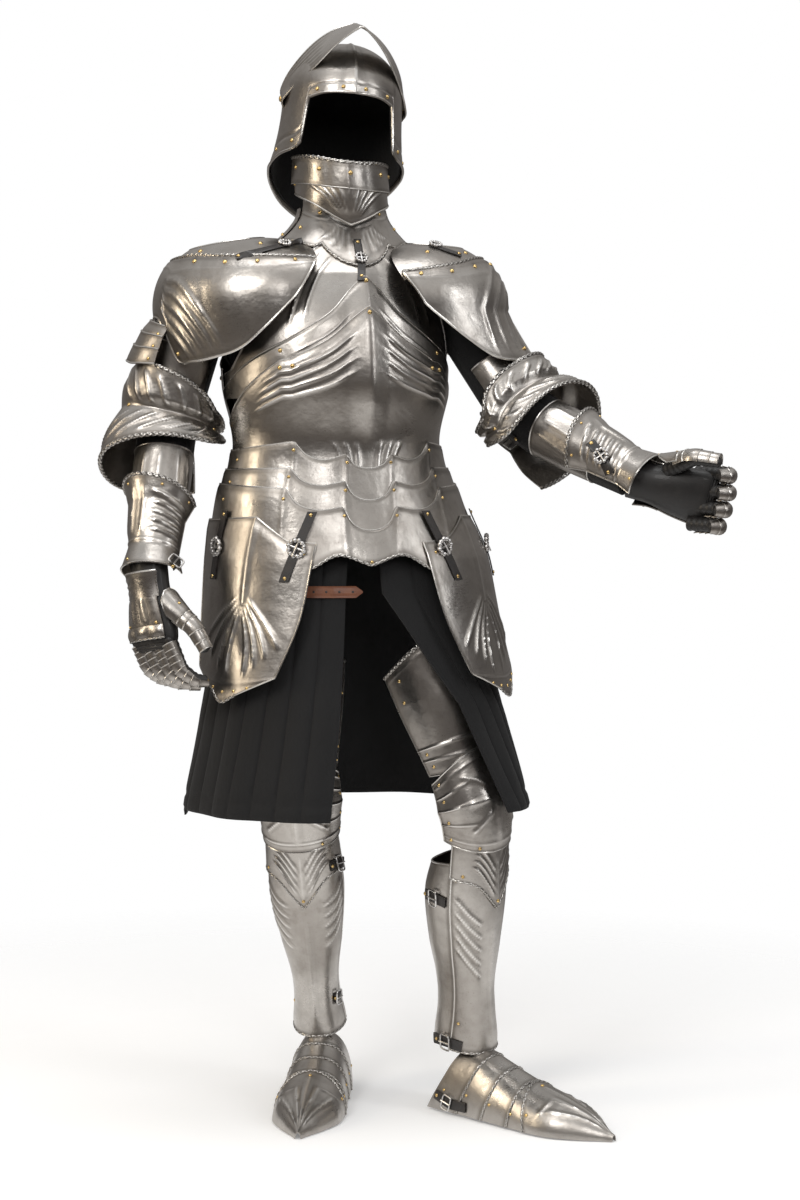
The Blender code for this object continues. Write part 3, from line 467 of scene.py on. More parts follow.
@dataclass(frozen=True)
class Steel(Finish):
    """Satin steel, with painted shade (browner and duller) in its hollows and a painted highlight (brighter)
    on its ridges.
    """

    bright: tuple[float, float, float] = (0.50, 0.475, 0.445)
    dull: tuple[float, float, float] = (0.215, 0.188, 0.165)
    deep: tuple[float, float, float] = (0.075, 0.062, 0.050)
    rough: float = 0.235

    def sockets(self, nodes: Nodes) -> dict:
        """Colour and gloss from clouds, wear, brush marks, and the painted shade and highlight of the plate's
        hollows and ridges.
        """
        place = nodes.place()
        hollow = nodes.make("ShaderNodeAttribute", {"attribute_name": "hollow"}, {}, "Fac")
        clouds = nodes.noise(place, 7.0, 6.0, 0.62).within(0.34, 0.70)
        stains = nodes.noise(place, 23.0, 7.0, 0.68).within(0.52, 0.78)
        brushed = nodes.noise(place, 90.0, 5.0, 0.6, (1, 1, 9)).within(0.30, 0.72)
        pits = nodes.noise(place, 420.0, 2.0, 0.5).within(0.62, 0.78)
        base = nodes.mix(clouds * 0.66 + stains * 0.34, self.bright, self.dull)
        # painted shade: darker toward the deep colour in the hollows, beside rims and rivets and on the
        # insides of plates
        base = nodes.mix(hollow.within(0.06, 1.0), base, self.deep)
        # painted highlight: paler on the ridges and flute crests
        base = nodes.mix((0.0 - hollow).within(0.05, 0.6) * 0.75, base, (0.74, 0.72, 0.69))
        base = nodes.mix(pits * 0.30, base, self.deep)
        rough = clouds * 0.11 + brushed * 0.07 + stains * 0.10 + hollow.within(0.0, 0.8) * 0.16 + self.rough
        hammered = nodes.bump(nodes.noise(place, 17.0, 4.0, 0.55), 0.34, 0.006)
        worked = nodes.bump(brushed, 0.05, 0.0006, hammered)
        return {"Base Color": base, "Metallic": 1.0, "Roughness": rough, "Normal": worked}


@dataclass(frozen=True)
class Brass(Finish):
    """Yellow metal of the rivets, darker in spots."""

    colour: tuple[float, float, float] = (0.83, 0.60, 0.26)

    def sockets(self, nodes: Nodes) -> dict:
        """Colour and gloss from spots of tarnish."""
        spots = nodes.noise(nodes.place(), 160.0, 4.0).within(0.4, 0.7)
        return {"Base Color": nodes.mix(spots * 0.7, self.colour, (0.35, 0.22, 0.09)), "Metallic": 1.0,
                "Roughness": spots * 0.22 + 0.20}


@dataclass(frozen=True)
class Quilt(Finish):
    """Black woven cotton over wadding, with a twill and a little lint."""

    colour: tuple[float, float, float] = (0.0030, 0.0030, 0.0035)

    def sockets(self, nodes: Nodes) -> dict:
        """Colour and bump from the weave, the lint and the wear of the cloth, with painted shade in the
        quilting's seams and on its inside.
        """
        place = nodes.place()
        ribs = nodes.make("ShaderNodeTexWave", {"bands_direction": "DIAGONAL"},
                          {"Vector": place, "Scale": 260.0, "Distortion": 1.2, "Detail": 1.0})
        threads = nodes.noise(place, 900.0, 2.0)
        lint = nodes.noise(place, 300.0, 5.0, 0.7, (1, 1, 0.4)).within(0.64, 0.80)
        worn = nodes.noise(place, 9.0, 5.0).within(0.4, 0.75)
        hollow = nodes.make("ShaderNodeAttribute", {"attribute_name": "hollow"}, {}, "Fac")
        base = nodes.mix(worn * 0.6 + ribs * 0.25, self.colour, (0.0070, 0.0068, 0.0073))
        base = nodes.mix(lint * 0.20, base, (0.028, 0.027, 0.026))
        # painted shade: darker in the seams between the quilted channels
        base = nodes.mix(hollow.within(0.03, 0.5), base, (0.003, 0.003, 0.0035))
        creased = nodes.bump(nodes.noise(place, 34.0, 4.0, 0.6, (1, 1, 0.35)), 0.35, 0.006)
        return {"Base Color": base, "Roughness": worn * 0.08 + 0.84, "Sheen Weight": 0.04,
                "Normal": nodes.bump(ribs + threads, 0.30, 0.0006, creased)}


@dataclass(frozen=True)
class Leather(Finish):
    """Grained leather with paler worn patches."""

    colour: tuple[float, float, float] = (0.018, 0.0155, 0.0145)
    worn: tuple[float, float, float] = (0.060, 0.050, 0.044)
    rough: float = 0.44

    def sockets(self, nodes: Nodes) -> dict:
        """Colour, gloss and bump from the grain and the wear."""
        place = nodes.place()
        grain = nodes.make("ShaderNodeTexVoronoi", {"feature": "F1"}, {"Vector": place, "Scale": 520.0})
        wear = nodes.noise(place, 48.0, 5.0, 0.65).within(0.45, 0.78)
        creases = nodes.noise(place, 120.0, 4.0, 0.6, (1, 1, 0.3))
        crumpled = nodes.bump(creases, 0.30, 0.0012)
        return {"Base Color": nodes.mix(wear * 0.6, self.colour, self.worn), "Coat Weight": 0.08,
                "Roughness": wear * 0.20 + self.rough, "Normal": nodes.bump(grain, 0.35, 0.0004, crumpled)}


@dataclass(frozen=True)
class Pale(Finish):
    """The floor's pale paper, which ends softly."""

    def sockets(self, nodes: Nodes) -> dict:
        """A pale colour with the faintest mottling, clear toward its edge."""
        place = nodes.place()
        far = nodes.make("ShaderNodeVectorMath", {"operation": "LENGTH"}, {0: nodes.make(
            "ShaderNodeVectorMath", {"operation": "MULTIPLY"}, {0: place, 1: (1.0, 1.0, 0.0)})}, "Value")
        mottled = nodes.noise(place, 3.0, 3.0)
        return {"Base Color": nodes.mix(mottled, (0.90, 0.90, 0.90), (0.87, 0.87, 0.87)), "Roughness": 0.9,
                "Emission Color": (1.0, 1.0, 1.0), "Emission Strength": 0.20, "Specular IOR Level": 0.0,
                "Alpha": 1.0 - far.within(0.75, 1.9)}


STEEL = Steel("worked_steel")
# a paler copy of the steel for the rims: a painted highlight along every rolled and roped edge
HIGHLIT_RIM_STEEL = Steel("rim_steel_painted_highlight", (0.66, 0.64, 0.61), (0.40, 0.37, 0.335), (0.05, 0.042, 0.035), 0.22)
SILVER = Steel("buckle_silver", (0.74, 0.73, 0.72), (0.38, 0.36, 0.34), (0.06, 0.055, 0.05), 0.22)
BRASS = Brass("rivet_brass")
QUILT = Quilt("coat_cloth")
HIDE = Leather("strap_leather")
GLOVE = Leather("glove_leather", (0.012, 0.011, 0.011), (0.034, 0.030, 0.028), 0.50)
BROWN = Leather("belt_leather", (0.150, 0.046, 0.017), (0.27, 0.105, 0.045), 0.50)
PALE = Pale("floor_paper")


def absorb(whole: bmesh.types.BMesh, part: bmesh.types.BMesh, slot: int) -> None:
    """Join a mesh into another, in one of its material slots, and free it."""
    for face in part.faces:
        face.material_index = slot
        face.smooth = True
    carried = bpy.data.meshes.new("carried")
    part.to_mesh(carried)
    part.free()
    whole.from_mesh(carried)
    bpy.data.meshes.remove(carried)


def tidy(shape: bmesh.types.BMesh) -> bmesh.types.BMesh:
    """Merge doubles, close what is open, and turn the faces outward."""
    bmesh.ops.remove_doubles(shape, verts=shape.verts, dist=1e-6)
    rims = [edge for edge in shape.edges if edge.is_boundary]
    if rims:
        bmesh.ops.holes_fill(shape, edges=rims, sides=0)
    bmesh.ops.recalc_face_normals(shape, faces=shape.faces)
    return shape


def swept(points: Sequence[Vector], outs: Sequence[Vector], size: Callable[[float, float], Pair],
          segments: int = 8) -> bmesh.types.BMesh:
    """Sweep a bar along a path.

    Args:
        points: The path.
        outs: The outward direction at each point.
        size: From a distance and an angle round the bar, its reach outward and sideways.
        segments: Faces round the bar.

    Returns:
        A closed mesh.
    """
    rings = len(points) - 1
    shape = bmesh.new()
    bmesh.ops.create_grid(shape, x_segments=rings, y_segments=segments, size=0.5)
    hollow = shape.verts.layers.float.new("hollow")
    most = max(size(0.001 * k, 0.7 * k)[0] for k in range(24))
    frames, gone = [], 0.0
    for k, point in enumerate(points):
        along = points[min(rings, k + 1)] - points[max(0, k - 1)]
        side = along.cross(outs[k]).normalized()
        gone += (point - points[k - 1]).length if k else 0.0
        frames.append((point, side.cross(along).normalized(), side, gone))
    for vert in shape.verts:
        point, out, side, gone = frames[round((vert.co.x + 0.5) * rings)]
        turn = 2 * math.pi * (vert.co.y + 0.5)
        tall, wide = size(gone, turn)
        # painted shade in the grooves of a roped rim, where the bar is thinnest
        vert[hollow] = max(0.0, 4.5 * (1 - tall / most) - 0.3)
        vert.co = point + out * tall * math.cos(turn) + side * wide * math.sin(turn)
    return tidy(shape)


def walled(across: int, along: int, outer: Callable[[float, float], Vector],
           inner: Callable[[float, float], Vector], relief: Optional[Shape] = None,
           shade: Optional[Shape] = None) -> bmesh.types.BMesh:
    """Make a wall between two surfaces.

    Args:
        across: Faces one way.
        along: Faces the other way.
        outer: The outer surface by shares.
        inner: The inner surface by shares.
        relief: The height of the relief, which the painted shade in its hollows and the painted highlight on
            its ridges are worked out from.
        shade: How much painted shade is added at a place.

    Returns:
        A closed mesh with an attribute of painted shade in its hollows and painted highlight on its ridges.
    """
    shape = bmesh.new()
    bmesh.ops.create_grid(shape, x_segments=across, y_segments=along, size=0.5)
    hollow = shape.verts.layers.float.new("hollow")
    share_u = shape.verts.layers.float.new("share_u")
    share_t = shape.verts.layers.float.new("share_t")
    heights = {}
    for vert in shape.verts:
        vert[share_u], vert[share_t] = vert.co.x + 0.5, vert.co.y + 0.5
        heights[vert] = relief(vert[share_u], vert[share_t]) if relief else 0.0
        vert.co = outer(vert[share_u], vert[share_t])
    if relief:
        for vert in shape.verts:
            near = [edge.other_vert(vert) for edge in vert.link_edges]
            mean = sum(heights[other] for other in near) / len(near)
            step = sum(edge.calc_length() for edge in vert.link_edges) / len(near)
            painted_shade = shade(vert[share_u], vert[share_t]) if shade else 0.0
            # painted shade in hollows and painted highlight on ridges, from the relief's curvature, plus the
            # painted shade beside rims and rivets
            vert[hollow] = max(-1.0, min(1.0, painted_shade + (mean - heights[vert]) * HOLLOW_GAIN / step ** 2))
    bmesh.ops.remove_doubles(shape, verts=shape.verts, dist=1e-6)
    copied = bmesh.ops.extrude_face_region(shape, geom=shape.faces[:], use_keep_orig=True)
    for vert in copied["geom"]:
        if isinstance(vert, bmesh.types.BMVert):
            vert.co = inner(vert[share_u], vert[share_t])
            # painted shade over the whole inside of the wall
            vert[hollow] = INSIDE_SHADE
    bmesh.ops.recalc_face_normals(shape, faces=shape.faces)
    shape.verts.layers.float.remove(shape.verts.layers.float["share_u"])
    shape.verts.layers.float.remove(shape.verts.layers.float["share_t"])
    return shape


@dataclass(frozen=True)
class Flute:
    """A raised line over a plate, in shares of its width and height, bowed sideways by metres."""

    start: Pair
    end: Pair
    bow: float = 0.0
    height: float = 0.0030
    width: float = 0.0075
    keeps: bool = False
    skew: float = 1.0

    def lift(self, u: float, t: float, size: Pair) -> float:
        """Give its height at a place of a plate of a size in metres."""
        x, y = (u - self.start[0]) * size[0], (t - self.start[1]) * size[1]
        dx, dy = (self.end[0] - self.start[0]) * size[0], (self.end[1] - self.start[1]) * size[1]
        length = math.hypot(dx, dy)
        part = (x * dx + y * dy) / length ** 2
        if not -0.05 < part < 1.05:
            return 0.0
        bent = min(1.0, max(0.0, part)) ** self.skew
        away = abs((x * dy - y * dx) / length - self.bow * 4 * bent * (1 - bent)) / (self.width * FLUTE_REACH)
        if away >= 1:
            return 0.0
        fade = 1.0 if self.keeps else eased(min(part + 0.02, 1.02 - part) * 5)
        return self.height * FLUTE_RISE * (1 - away) ** 1.25 * fade


def fan(count: int, first: tuple[Pair, Pair], last: tuple[Pair, Pair], bow: float = 0.0,
        height: float = 0.0030, width: float = 0.0075) -> tuple[Flute, ...]:
    """Spread flutes between a first and a last one.

    Args:
        count: How many flutes.
        first: The start and end of the first.
        last: The start and end of the last.
        bow: How far each bows sideways.
        height: Their height.
        width: Their half width.

    Returns:
        The flutes.
    """
    made = []
    for k in range(count):
        part = k / max(1, count - 1)
        ends = [tuple(a + (b - a) * part for a, b in zip(p, q)) for p, q in zip(first, last)]
        made.append(Flute(ends[0], ends[1], bow, height, width))
    return tuple(made)


@dataclass(frozen=True)
class Rim:
    """The finish of one edge."""

    side: Side
    style: RimStyle = RimStyle.ROLL
    radius: float = 0.0016


def rolled(*sides: Side, radius: float = 0.0016) -> tuple[Rim, ...]:
    """Give plain rolled edges."""
    return tuple(Rim(side, RimStyle.ROLL, radius) for side in sides)


def roped(*sides: Side, radius: float = 0.0034) -> tuple[Rim, ...]:
    """Give roped edges."""
    return tuple(Rim(side, RimStyle.ROPE, radius) for side in sides)


@dataclass
class Plate:
    """A patch of a form, with its relief, its edges and its rivets."""

    form: Form
    angles: tuple[Edge, Edge]
    span: tuple[Edge, Edge]
    layer: float = 0.0
    wall: float = PLATE
    flutes: tuple[Flute, ...] = ()
    relief: Optional[Shape] = None
    swell: Optional[Shape] = None
    rims: tuple[Rim, ...] = ()
    rivets: tuple[Pair, ...] = ()
    rivet: float = 0.0040
    pitch: float = 0.0034
    settle: float = 0.0

    def spot(self, u: float, t: float, lift: float) -> Vector:
        """Give the place at shares of the plate, lifted off its inside."""
        low, high = read(self.angles[0], t), read(self.angles[1], t)
        start, end = read(self.span[0], u), read(self.span[1], u)
        raised = self.swell(u, t) if self.swell else 0.0
        if self.settle:
            raised -= self.settle * eased((t - 0.93) / 0.07)
        return self.form.at(low + (high - low) * u, start + (end - start) * t, self.layer + lift + raised)

    def size(self) -> Pair:
        """Give the plate's rough width and height in metres."""
        across = sum((self.spot((k + 1) / 8, 0.5, 0) - self.spot(k / 8, 0.5, 0)).length for k in range(8))
        along = sum((self.spot(0.5, (k + 1) / 6, 0) - self.spot(0.5, k / 6, 0)).length for k in range(6))
        return across, along

    def worked(self) -> Shape:
        """Give the whole relief of the plate by shares."""
        size = self.size()

        def height(u: float, t: float) -> float:
            """Give the relief's height at a place."""
            raised = max((flute.lift(u, t, size) for flute in self.flutes), default=0.0)
            return raised + (self.relief(u, t) if self.relief else 0.0)

        return height

    def outer(self, u: float, t: float) -> Vector:
        """Give the place on the outside."""
        return self.spot(u, t, self.wall)

    def normal(self, u: float, t: float) -> Vector:
        """Give the outward direction."""
        return (self.spot(u, t, 0.01) - self.spot(u, t, 0.0)).normalized()

    def painted_shade(self, u: float, t: float, size: Pair) -> float:
        """Give how dark the polish has stayed beside the rims and round the rivets."""
        away = {Side.TOP: (1 - t) * size[1], Side.LOW: t * size[1], Side.FIRST: u * size[0],
                Side.LAST: (1 - u) * size[0]}
        least = min((abs(away[rim.side] - rim.radius * 1.6) for rim in self.rims), default=1.0)
        # Give the painted shade beside the rims and round the rivets, where they meet the plate.
        near = min((math.hypot((u - a) * size[0], (t - b) * size[1]) for a, b in self.rivets), default=1.0)
        by_rim = RIM_SHADE * math.exp(-(least / RIM_SHADE_WIDTH) ** 2)
        return by_rim + RIVET_SHADE * math.exp(-(near / RIVET_SHADE_WIDTH) ** 2)

    def shape(self) -> bmesh.types.BMesh:
        """Build the plate, with edges in its second material and rivets in its third."""
        wide, tall = self.size()
        height = self.worked()
        across = max(8, min(190, round(wide / self.pitch)))
        along = max(4, min(140, round(tall / self.pitch)))
        whole = walled(across, along, lambda u, t: self.spot(u, t, self.wall + height(u, t)),
                       lambda u, t: self.spot(u, t, 0.0), height, lambda u, t: self.painted_shade(u, t, (wide, tall)))
        for face in whole.faces:
            face.smooth = True
        for rim in self.rims:
            absorb(whole, self.edge(rim), 1)
        for u, t in self.rivets:
            absorb(whole, dome(self.outer(u, t) + self.normal(u, t) * height(u, t), self.normal(u, t),
                               self.rivet), 2)
        return whole

    def edge(self, rim: Rim) -> bmesh.types.BMesh:
        """Build the finish of one edge."""
        upright = rim.side in (Side.FIRST, Side.LAST)
        fixed = 1.0 if rim.side in (Side.TOP, Side.LAST) else 0.0
        rough = [(fixed, k / 40) if upright else (k / 40, fixed) for k in range(41)]
        length = sum((self.outer(*b) - self.outer(*a)).length for a, b in zip(rough, rough[1:]))
        step = 0.0013 if rim.style is RimStyle.ROPE else 0.0045
        count = max(6, round(length / step))
        places = [(fixed, k / count) if upright else (k / count, fixed) for k in range(count + 1)]
        outs = [self.normal(*place) for place in places]
        points = [self.outer(*place) - out * self.wall * 0.4 for place, out in zip(places, outs)]

        def size(gone: float, turn: float) -> Pair:
            """Give the bar's reach at a turn."""
            if rim.style is RimStyle.ROLL:
                return rim.radius, rim.radius
            lobe = rim.radius * (0.70 + 0.38 * abs(math.cos(1.5 * turn + math.pi * gone / 0.0105)))
            return lobe, lobe

        return swept(points, outs, size, 9 if rim.style is RimStyle.ROPE else 6)


def dome(point: Vector, out: Vector, radius: float, flat: float = 0.62) -> bmesh.types.BMesh:
    """Make a rivet's head, half sunk in what it sits on."""
    head = bmesh.new()
    bmesh.ops.create_uvsphere(head, u_segments=9, v_segments=6, radius=radius)
    turn = out.to_track_quat("Z", "Y").to_matrix().to_4x4()
    bmesh.ops.transform(head, verts=head.verts,
                        matrix=Matrix.Translation(point) @ turn @ Matrix.Diagonal((1, 1, flat, 1)))
    return head


def steps(plate: Plate, count: int, lap: float, rise: float, falling: bool = False) -> list[Plate]:
    """Split a plate into lames that lap one over the next.

    Args:
        plate: The whole plate.
        count: How many lames.
        lap: How far each runs under the next, in shares.
        rise: How far one lies over the next.
        falling: Whether the outermost lame is the first instead of the last.

    Returns:
        The lames.
    """
    made = []
    for k in range(count):
        low, high = k / count, min(1.0, (k + 1) / count + (lap if k < count - 1 else 0.0))
        lift = rise * ((count - 1 - k) if falling else k)
        span = tuple(
            Curve(tuple((j / 16, read(plate.span[0], j / 16) + (read(plate.span[1], j / 16)
                   - read(plate.span[0], j / 16)) * end) for j in range(17))) for end in (low, high)
        )
        angles = tuple(tuple((j / 4, read(edge, low + (high - low) * j / 4)) for j in range(5))
                       for edge in plate.angles)
        made.append(Plate(plate.form, angles, span, plate.layer + lift, plate.wall, swell=(
            lambda u, t, low=low, high=high: plate.swell(u, low + (high - low) * t)) if plate.swell else None,
            rims=plate.rims, rivets=plate.rivets, rivet=plate.rivet, pitch=plate.pitch))
    return made


class Workshop:
    """Turns plates into pieces of the scene, and remembers where their surfaces are."""

    def __init__(self) -> None:
        """Start with nothing made."""
        self.surfaces: dict[str, BVHTree] = {}
        self.made = 0

    def piece(self, name: str, shapes: Sequence[bmesh.types.BMesh], finishes: Sequence[Finish],
              body: str = "suit", slot: str = "polished_steel",
              node: Optional[str] = None) -> bpy.types.Object:
        """Make one piece.

        Args:
            name: The piece's name.
            shapes: Its meshes, which are freed.
            finishes: Its material slots.
            body: The body that it rides on.
            slot: The frame's slot that its finish belongs to; not used.
            node: The node that it stands for.

        Returns:
            The piece.
        """
        whole = shapes[0]
        for shape in shapes[1:]:
            carried = bpy.data.meshes.new("carried")
            shape.to_mesh(carried)
            shape.free()
            whole.from_mesh(carried)
            bpy.data.meshes.remove(carried)
        self.surfaces[node or name] = BVHTree.FromBMesh(whole)
        mesh = bpy.data.meshes.new(name)
        whole.to_mesh(mesh)
        whole.free()
        mesh.set_sharp_from_angle(angle=math.radians(50))
        for finish in finishes:
            mesh.materials.append(finish.material())
        made = bpy.data.objects.new(name, mesh)
        bpy.context.scene.collection.objects.link(made)
        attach(made, body)
        if node:
            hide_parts(node)
        self.made += 1
        LOG.info("%s: %d faces on %s", name, len(mesh.polygons), body)
        return made

    def plates(self, node: str, plates: Sequence[Plate], finish: Finish = STEEL, body: str = "suit",
               slot: str = "polished_steel") -> bpy.types.Object:
        """Make the piece that stands for a node out of its plates."""
        return self.piece(f"worked_{node}", [plate.shape() for plate in plates], (finish, HIGHLIT_RIM_STEEL, BRASS),
                          body, slot, node)

    def seen(self, x: float, y: float, on: Sequence[str]) -> Optional[tuple[Vector, Vector]]:
        """Find the place on some pieces that lies behind a point of the camera's view.

        Args:
            x: Pixels from the view's left side, of VIEW_WIDE.
            y: Pixels from its top, of VIEW_TALL.
            on: The pieces.

        Returns:
            The nearest place and its outward direction, or None.
        """
        start, way = Studio.eye, Studio.ray(x, y)
        best = None
        for name in on:
            place, normal, _, distance = self.surfaces[name].ray_cast(start, way)
            if place is not None and (best is None or distance < best[2]):
                best = (place, normal if normal.dot(way) < 0 else -normal, distance)
        return best[:2] if best else None


@dataclass(frozen=True)
class Lamp:
    """A soft light: its name, place, size in metres, watts and colour."""

    name: str
    place: tuple[float, float, float]
    size: Pair
    watts: float
    colour: tuple[float, float, float] = (1, 1, 1)


class Studio:
    """The camera, the floor and the soft light."""

    eye = Vector((0.1047, -4.030, -0.320))
    focal = 2360.0
    drop = 150.0
    pitch = math.atan(drop / focal)
    lamps: tuple[Lamp, ...] = (
        Lamp("key_light", (-1.5, -3.0, 1.5), (1.1, 1.5), 46, (1.0, 0.985, 0.96)),
        Lamp("front_light", (0.7, -3.7, 0.95), (0.9, 1.1), 20),
        Lamp("fill_light", (2.9, -1.5, 0.6), (0.5, 2.2), 20, (0.97, 0.985, 1.0)),
        Lamp("warm_light", (-2.8, -0.9, 0.1), (0.5, 1.8), 22, (1.0, 0.86, 0.66)),
        Lamp("top_light", (0.1, -0.4, 2.4), (2.2, 1.2), 34),
    )

    @classmethod
    def ray(cls, x: float, y: float) -> Vector:
        """Give the direction from the camera to a point of its view."""
        forward = Vector((0, math.cos(cls.pitch), -math.sin(cls.pitch)))
        up = Vector((0, math.sin(cls.pitch), math.cos(cls.pitch)))
        side = Vector((1, 0, 0))
        return (forward * cls.focal + side * (x - VIEW_WIDE / 2) + up * (VIEW_TALL / 2 - y)).normalized()

    def camera(self) -> None:
        """Make the camera at the photograph's viewing angle."""
        data = bpy.data.cameras.new("camera")
        data.lens = self.focal / VIEW_TALL * SENSOR
        made = bpy.data.objects.new("camera", data)
        made.location = self.eye
        made.rotation_euler = (math.pi / 2 - self.pitch, 0, 0)
        bpy.context.scene.collection.objects.link(made)
        bpy.context.scene.camera = made

    def floor(self) -> None:
        """Lay the pale floor."""
        shape = bmesh.new()
        bmesh.ops.create_grid(shape, x_segments=2, y_segments=2, size=4.0)
        bmesh.ops.translate(shape, verts=shape.verts, vec=(0, 0, CAD_BOX[0][2] - 0.001))
        mesh = bpy.data.meshes.new("floor")
        shape.to_mesh(mesh)
        shape.free()
        mesh.materials.append(PALE.material())
        made = bpy.data.objects.new("floor", mesh)
        bpy.context.scene.collection.objects.link(made)

    def world(self) -> None:
        """Surround the suit with a pale studio, darker in front of it and bright above and at the sides."""
        world = bpy.data.worlds.new("studio")
        bpy.context.scene.world = world
        world.use_nodes = True
        nodes = Nodes(world.node_tree)
        way = nodes.make("ShaderNodeTexCoord", {}, {}, "Generated")
        split = world.node_tree.nodes.new("ShaderNodeSeparateXYZ")
        nodes.join(split.inputs[0], way)
        x, y, z = (Wire(world.node_tree, socket) for socket in split.outputs)
        rise = nodes.make("ShaderNodeValToRGB", {"stops": (
            (0.0, (0.30, 0.27, 0.24)), (0.42, (0.07, 0.058, 0.052)), (0.54, (0.055, 0.047, 0.046)),
            (0.62, (0.16, 0.145, 0.14)), (0.72, (0.62, 0.60, 0.58)), (0.88, (0.80, 0.80, 0.80)),
            (1.0, 0.45))}, {0: z * 0.5 + 0.5})
        flank = nodes.make("ShaderNodeMath", {"operation": "ABSOLUTE"}, {0: x})
        sides = nodes.mix(flank.within(0.62, 0.92) * 0.75, rise, (0.045, 0.038, 0.036))
        behind = nodes.mix(y.within(0.0, 0.5) * 0.5, sides, (0.30, 0.29, 0.28))
        seen = nodes.make("ShaderNodeLightPath", {}, {}, "Is Camera Ray")
        whole = nodes.mix(seen, behind, (1.0, 1.0, 1.0))
        background = world.node_tree.nodes["Background"]
        nodes.join(background.inputs["Color"], whole)
        background.inputs["Strength"].default_value = 1.0

    def hang(self, lamp: Lamp) -> None:
        """Hang a soft light that faces the suit."""
        data = bpy.data.lights.new(lamp.name, "AREA")
        data.shape, data.size, data.size_y = "RECTANGLE", lamp.size[0], lamp.size[1]
        data.energy, data.color = lamp.watts, lamp.colour
        made = bpy.data.objects.new(lamp.name, data)
        made.location = lamp.place
        made.rotation_euler = (Vector((0, 0, -0.4)) - Vector(lamp.place)).to_track_quat("-Z", "Y").to_euler()
        bpy.context.scene.collection.objects.link(made)

    def build(self) -> None:
        """Set up the whole studio."""
        bpy.context.scene.view_settings.view_transform = "Standard"
        self.camera()
        self.floor()
        self.world()
        for lamp in self.lamps:
            self.hang(lamp)


TORSO = Trunk((
    (1.560, 0.066, 0.066, 0.066, 14, -0.014, 0.030), (1.530, 0.078, 0.074, 0.076, 16, -0.014, 0.030),
    (1.490, 0.118, 0.092, 0.098, 18, -0.016, 0.030), (1.440, 0.166, 0.130, 0.120, 20, -0.022, 0.030),
    (1.360, 0.188, 0.161, 0.134, 21, -0.028, 0.030), (1.260, 0.190, 0.168, 0.132, 22, -0.030, 0.030),
    (1.160, 0.174, 0.134, 0.112, 25, -0.028, 0.030), (1.060, 0.194, 0.150, 0.132, 20, -0.022, 0.030),
    (0.970, 0.216, 0.172, 0.158, 14, -0.008, 0.030), (0.850, 0.234, 0.194, 0.190, 12, -0.002, 0.030),
    (0.700, 0.264, 0.218, 0.213, 11, 0.002, 0.030), (0.520, 0.298, 0.234, 0.232, 10, 0.004, 0.030),
))


def ridge(height: float, half_angle: float, low: Table = ((0, 1), (1, 1))) -> Shape:
    """Give the soft keel down the middle of a plate that reaches an angle each side."""

    def raised(u: float, t: float) -> float:
        """Give the keel's height at a place."""
        near = max(0.0, 1 - abs(2 * u - 1) * half_angle / 9.0)
        return height * near ** 1.3 * blend(low, t)

    return raised


def mirrored(flutes: Sequence[Flute]) -> tuple[Flute, ...]:
    """Give flutes and their mirror images about the middle of a plate."""
    other = tuple(Flute((1 - f.start[0], f.start[1]), (1 - f.end[0], f.end[1]), -f.bow, f.height, f.width,
                        f.keeps)
                  for f in flutes)
    return tuple(flutes) + other


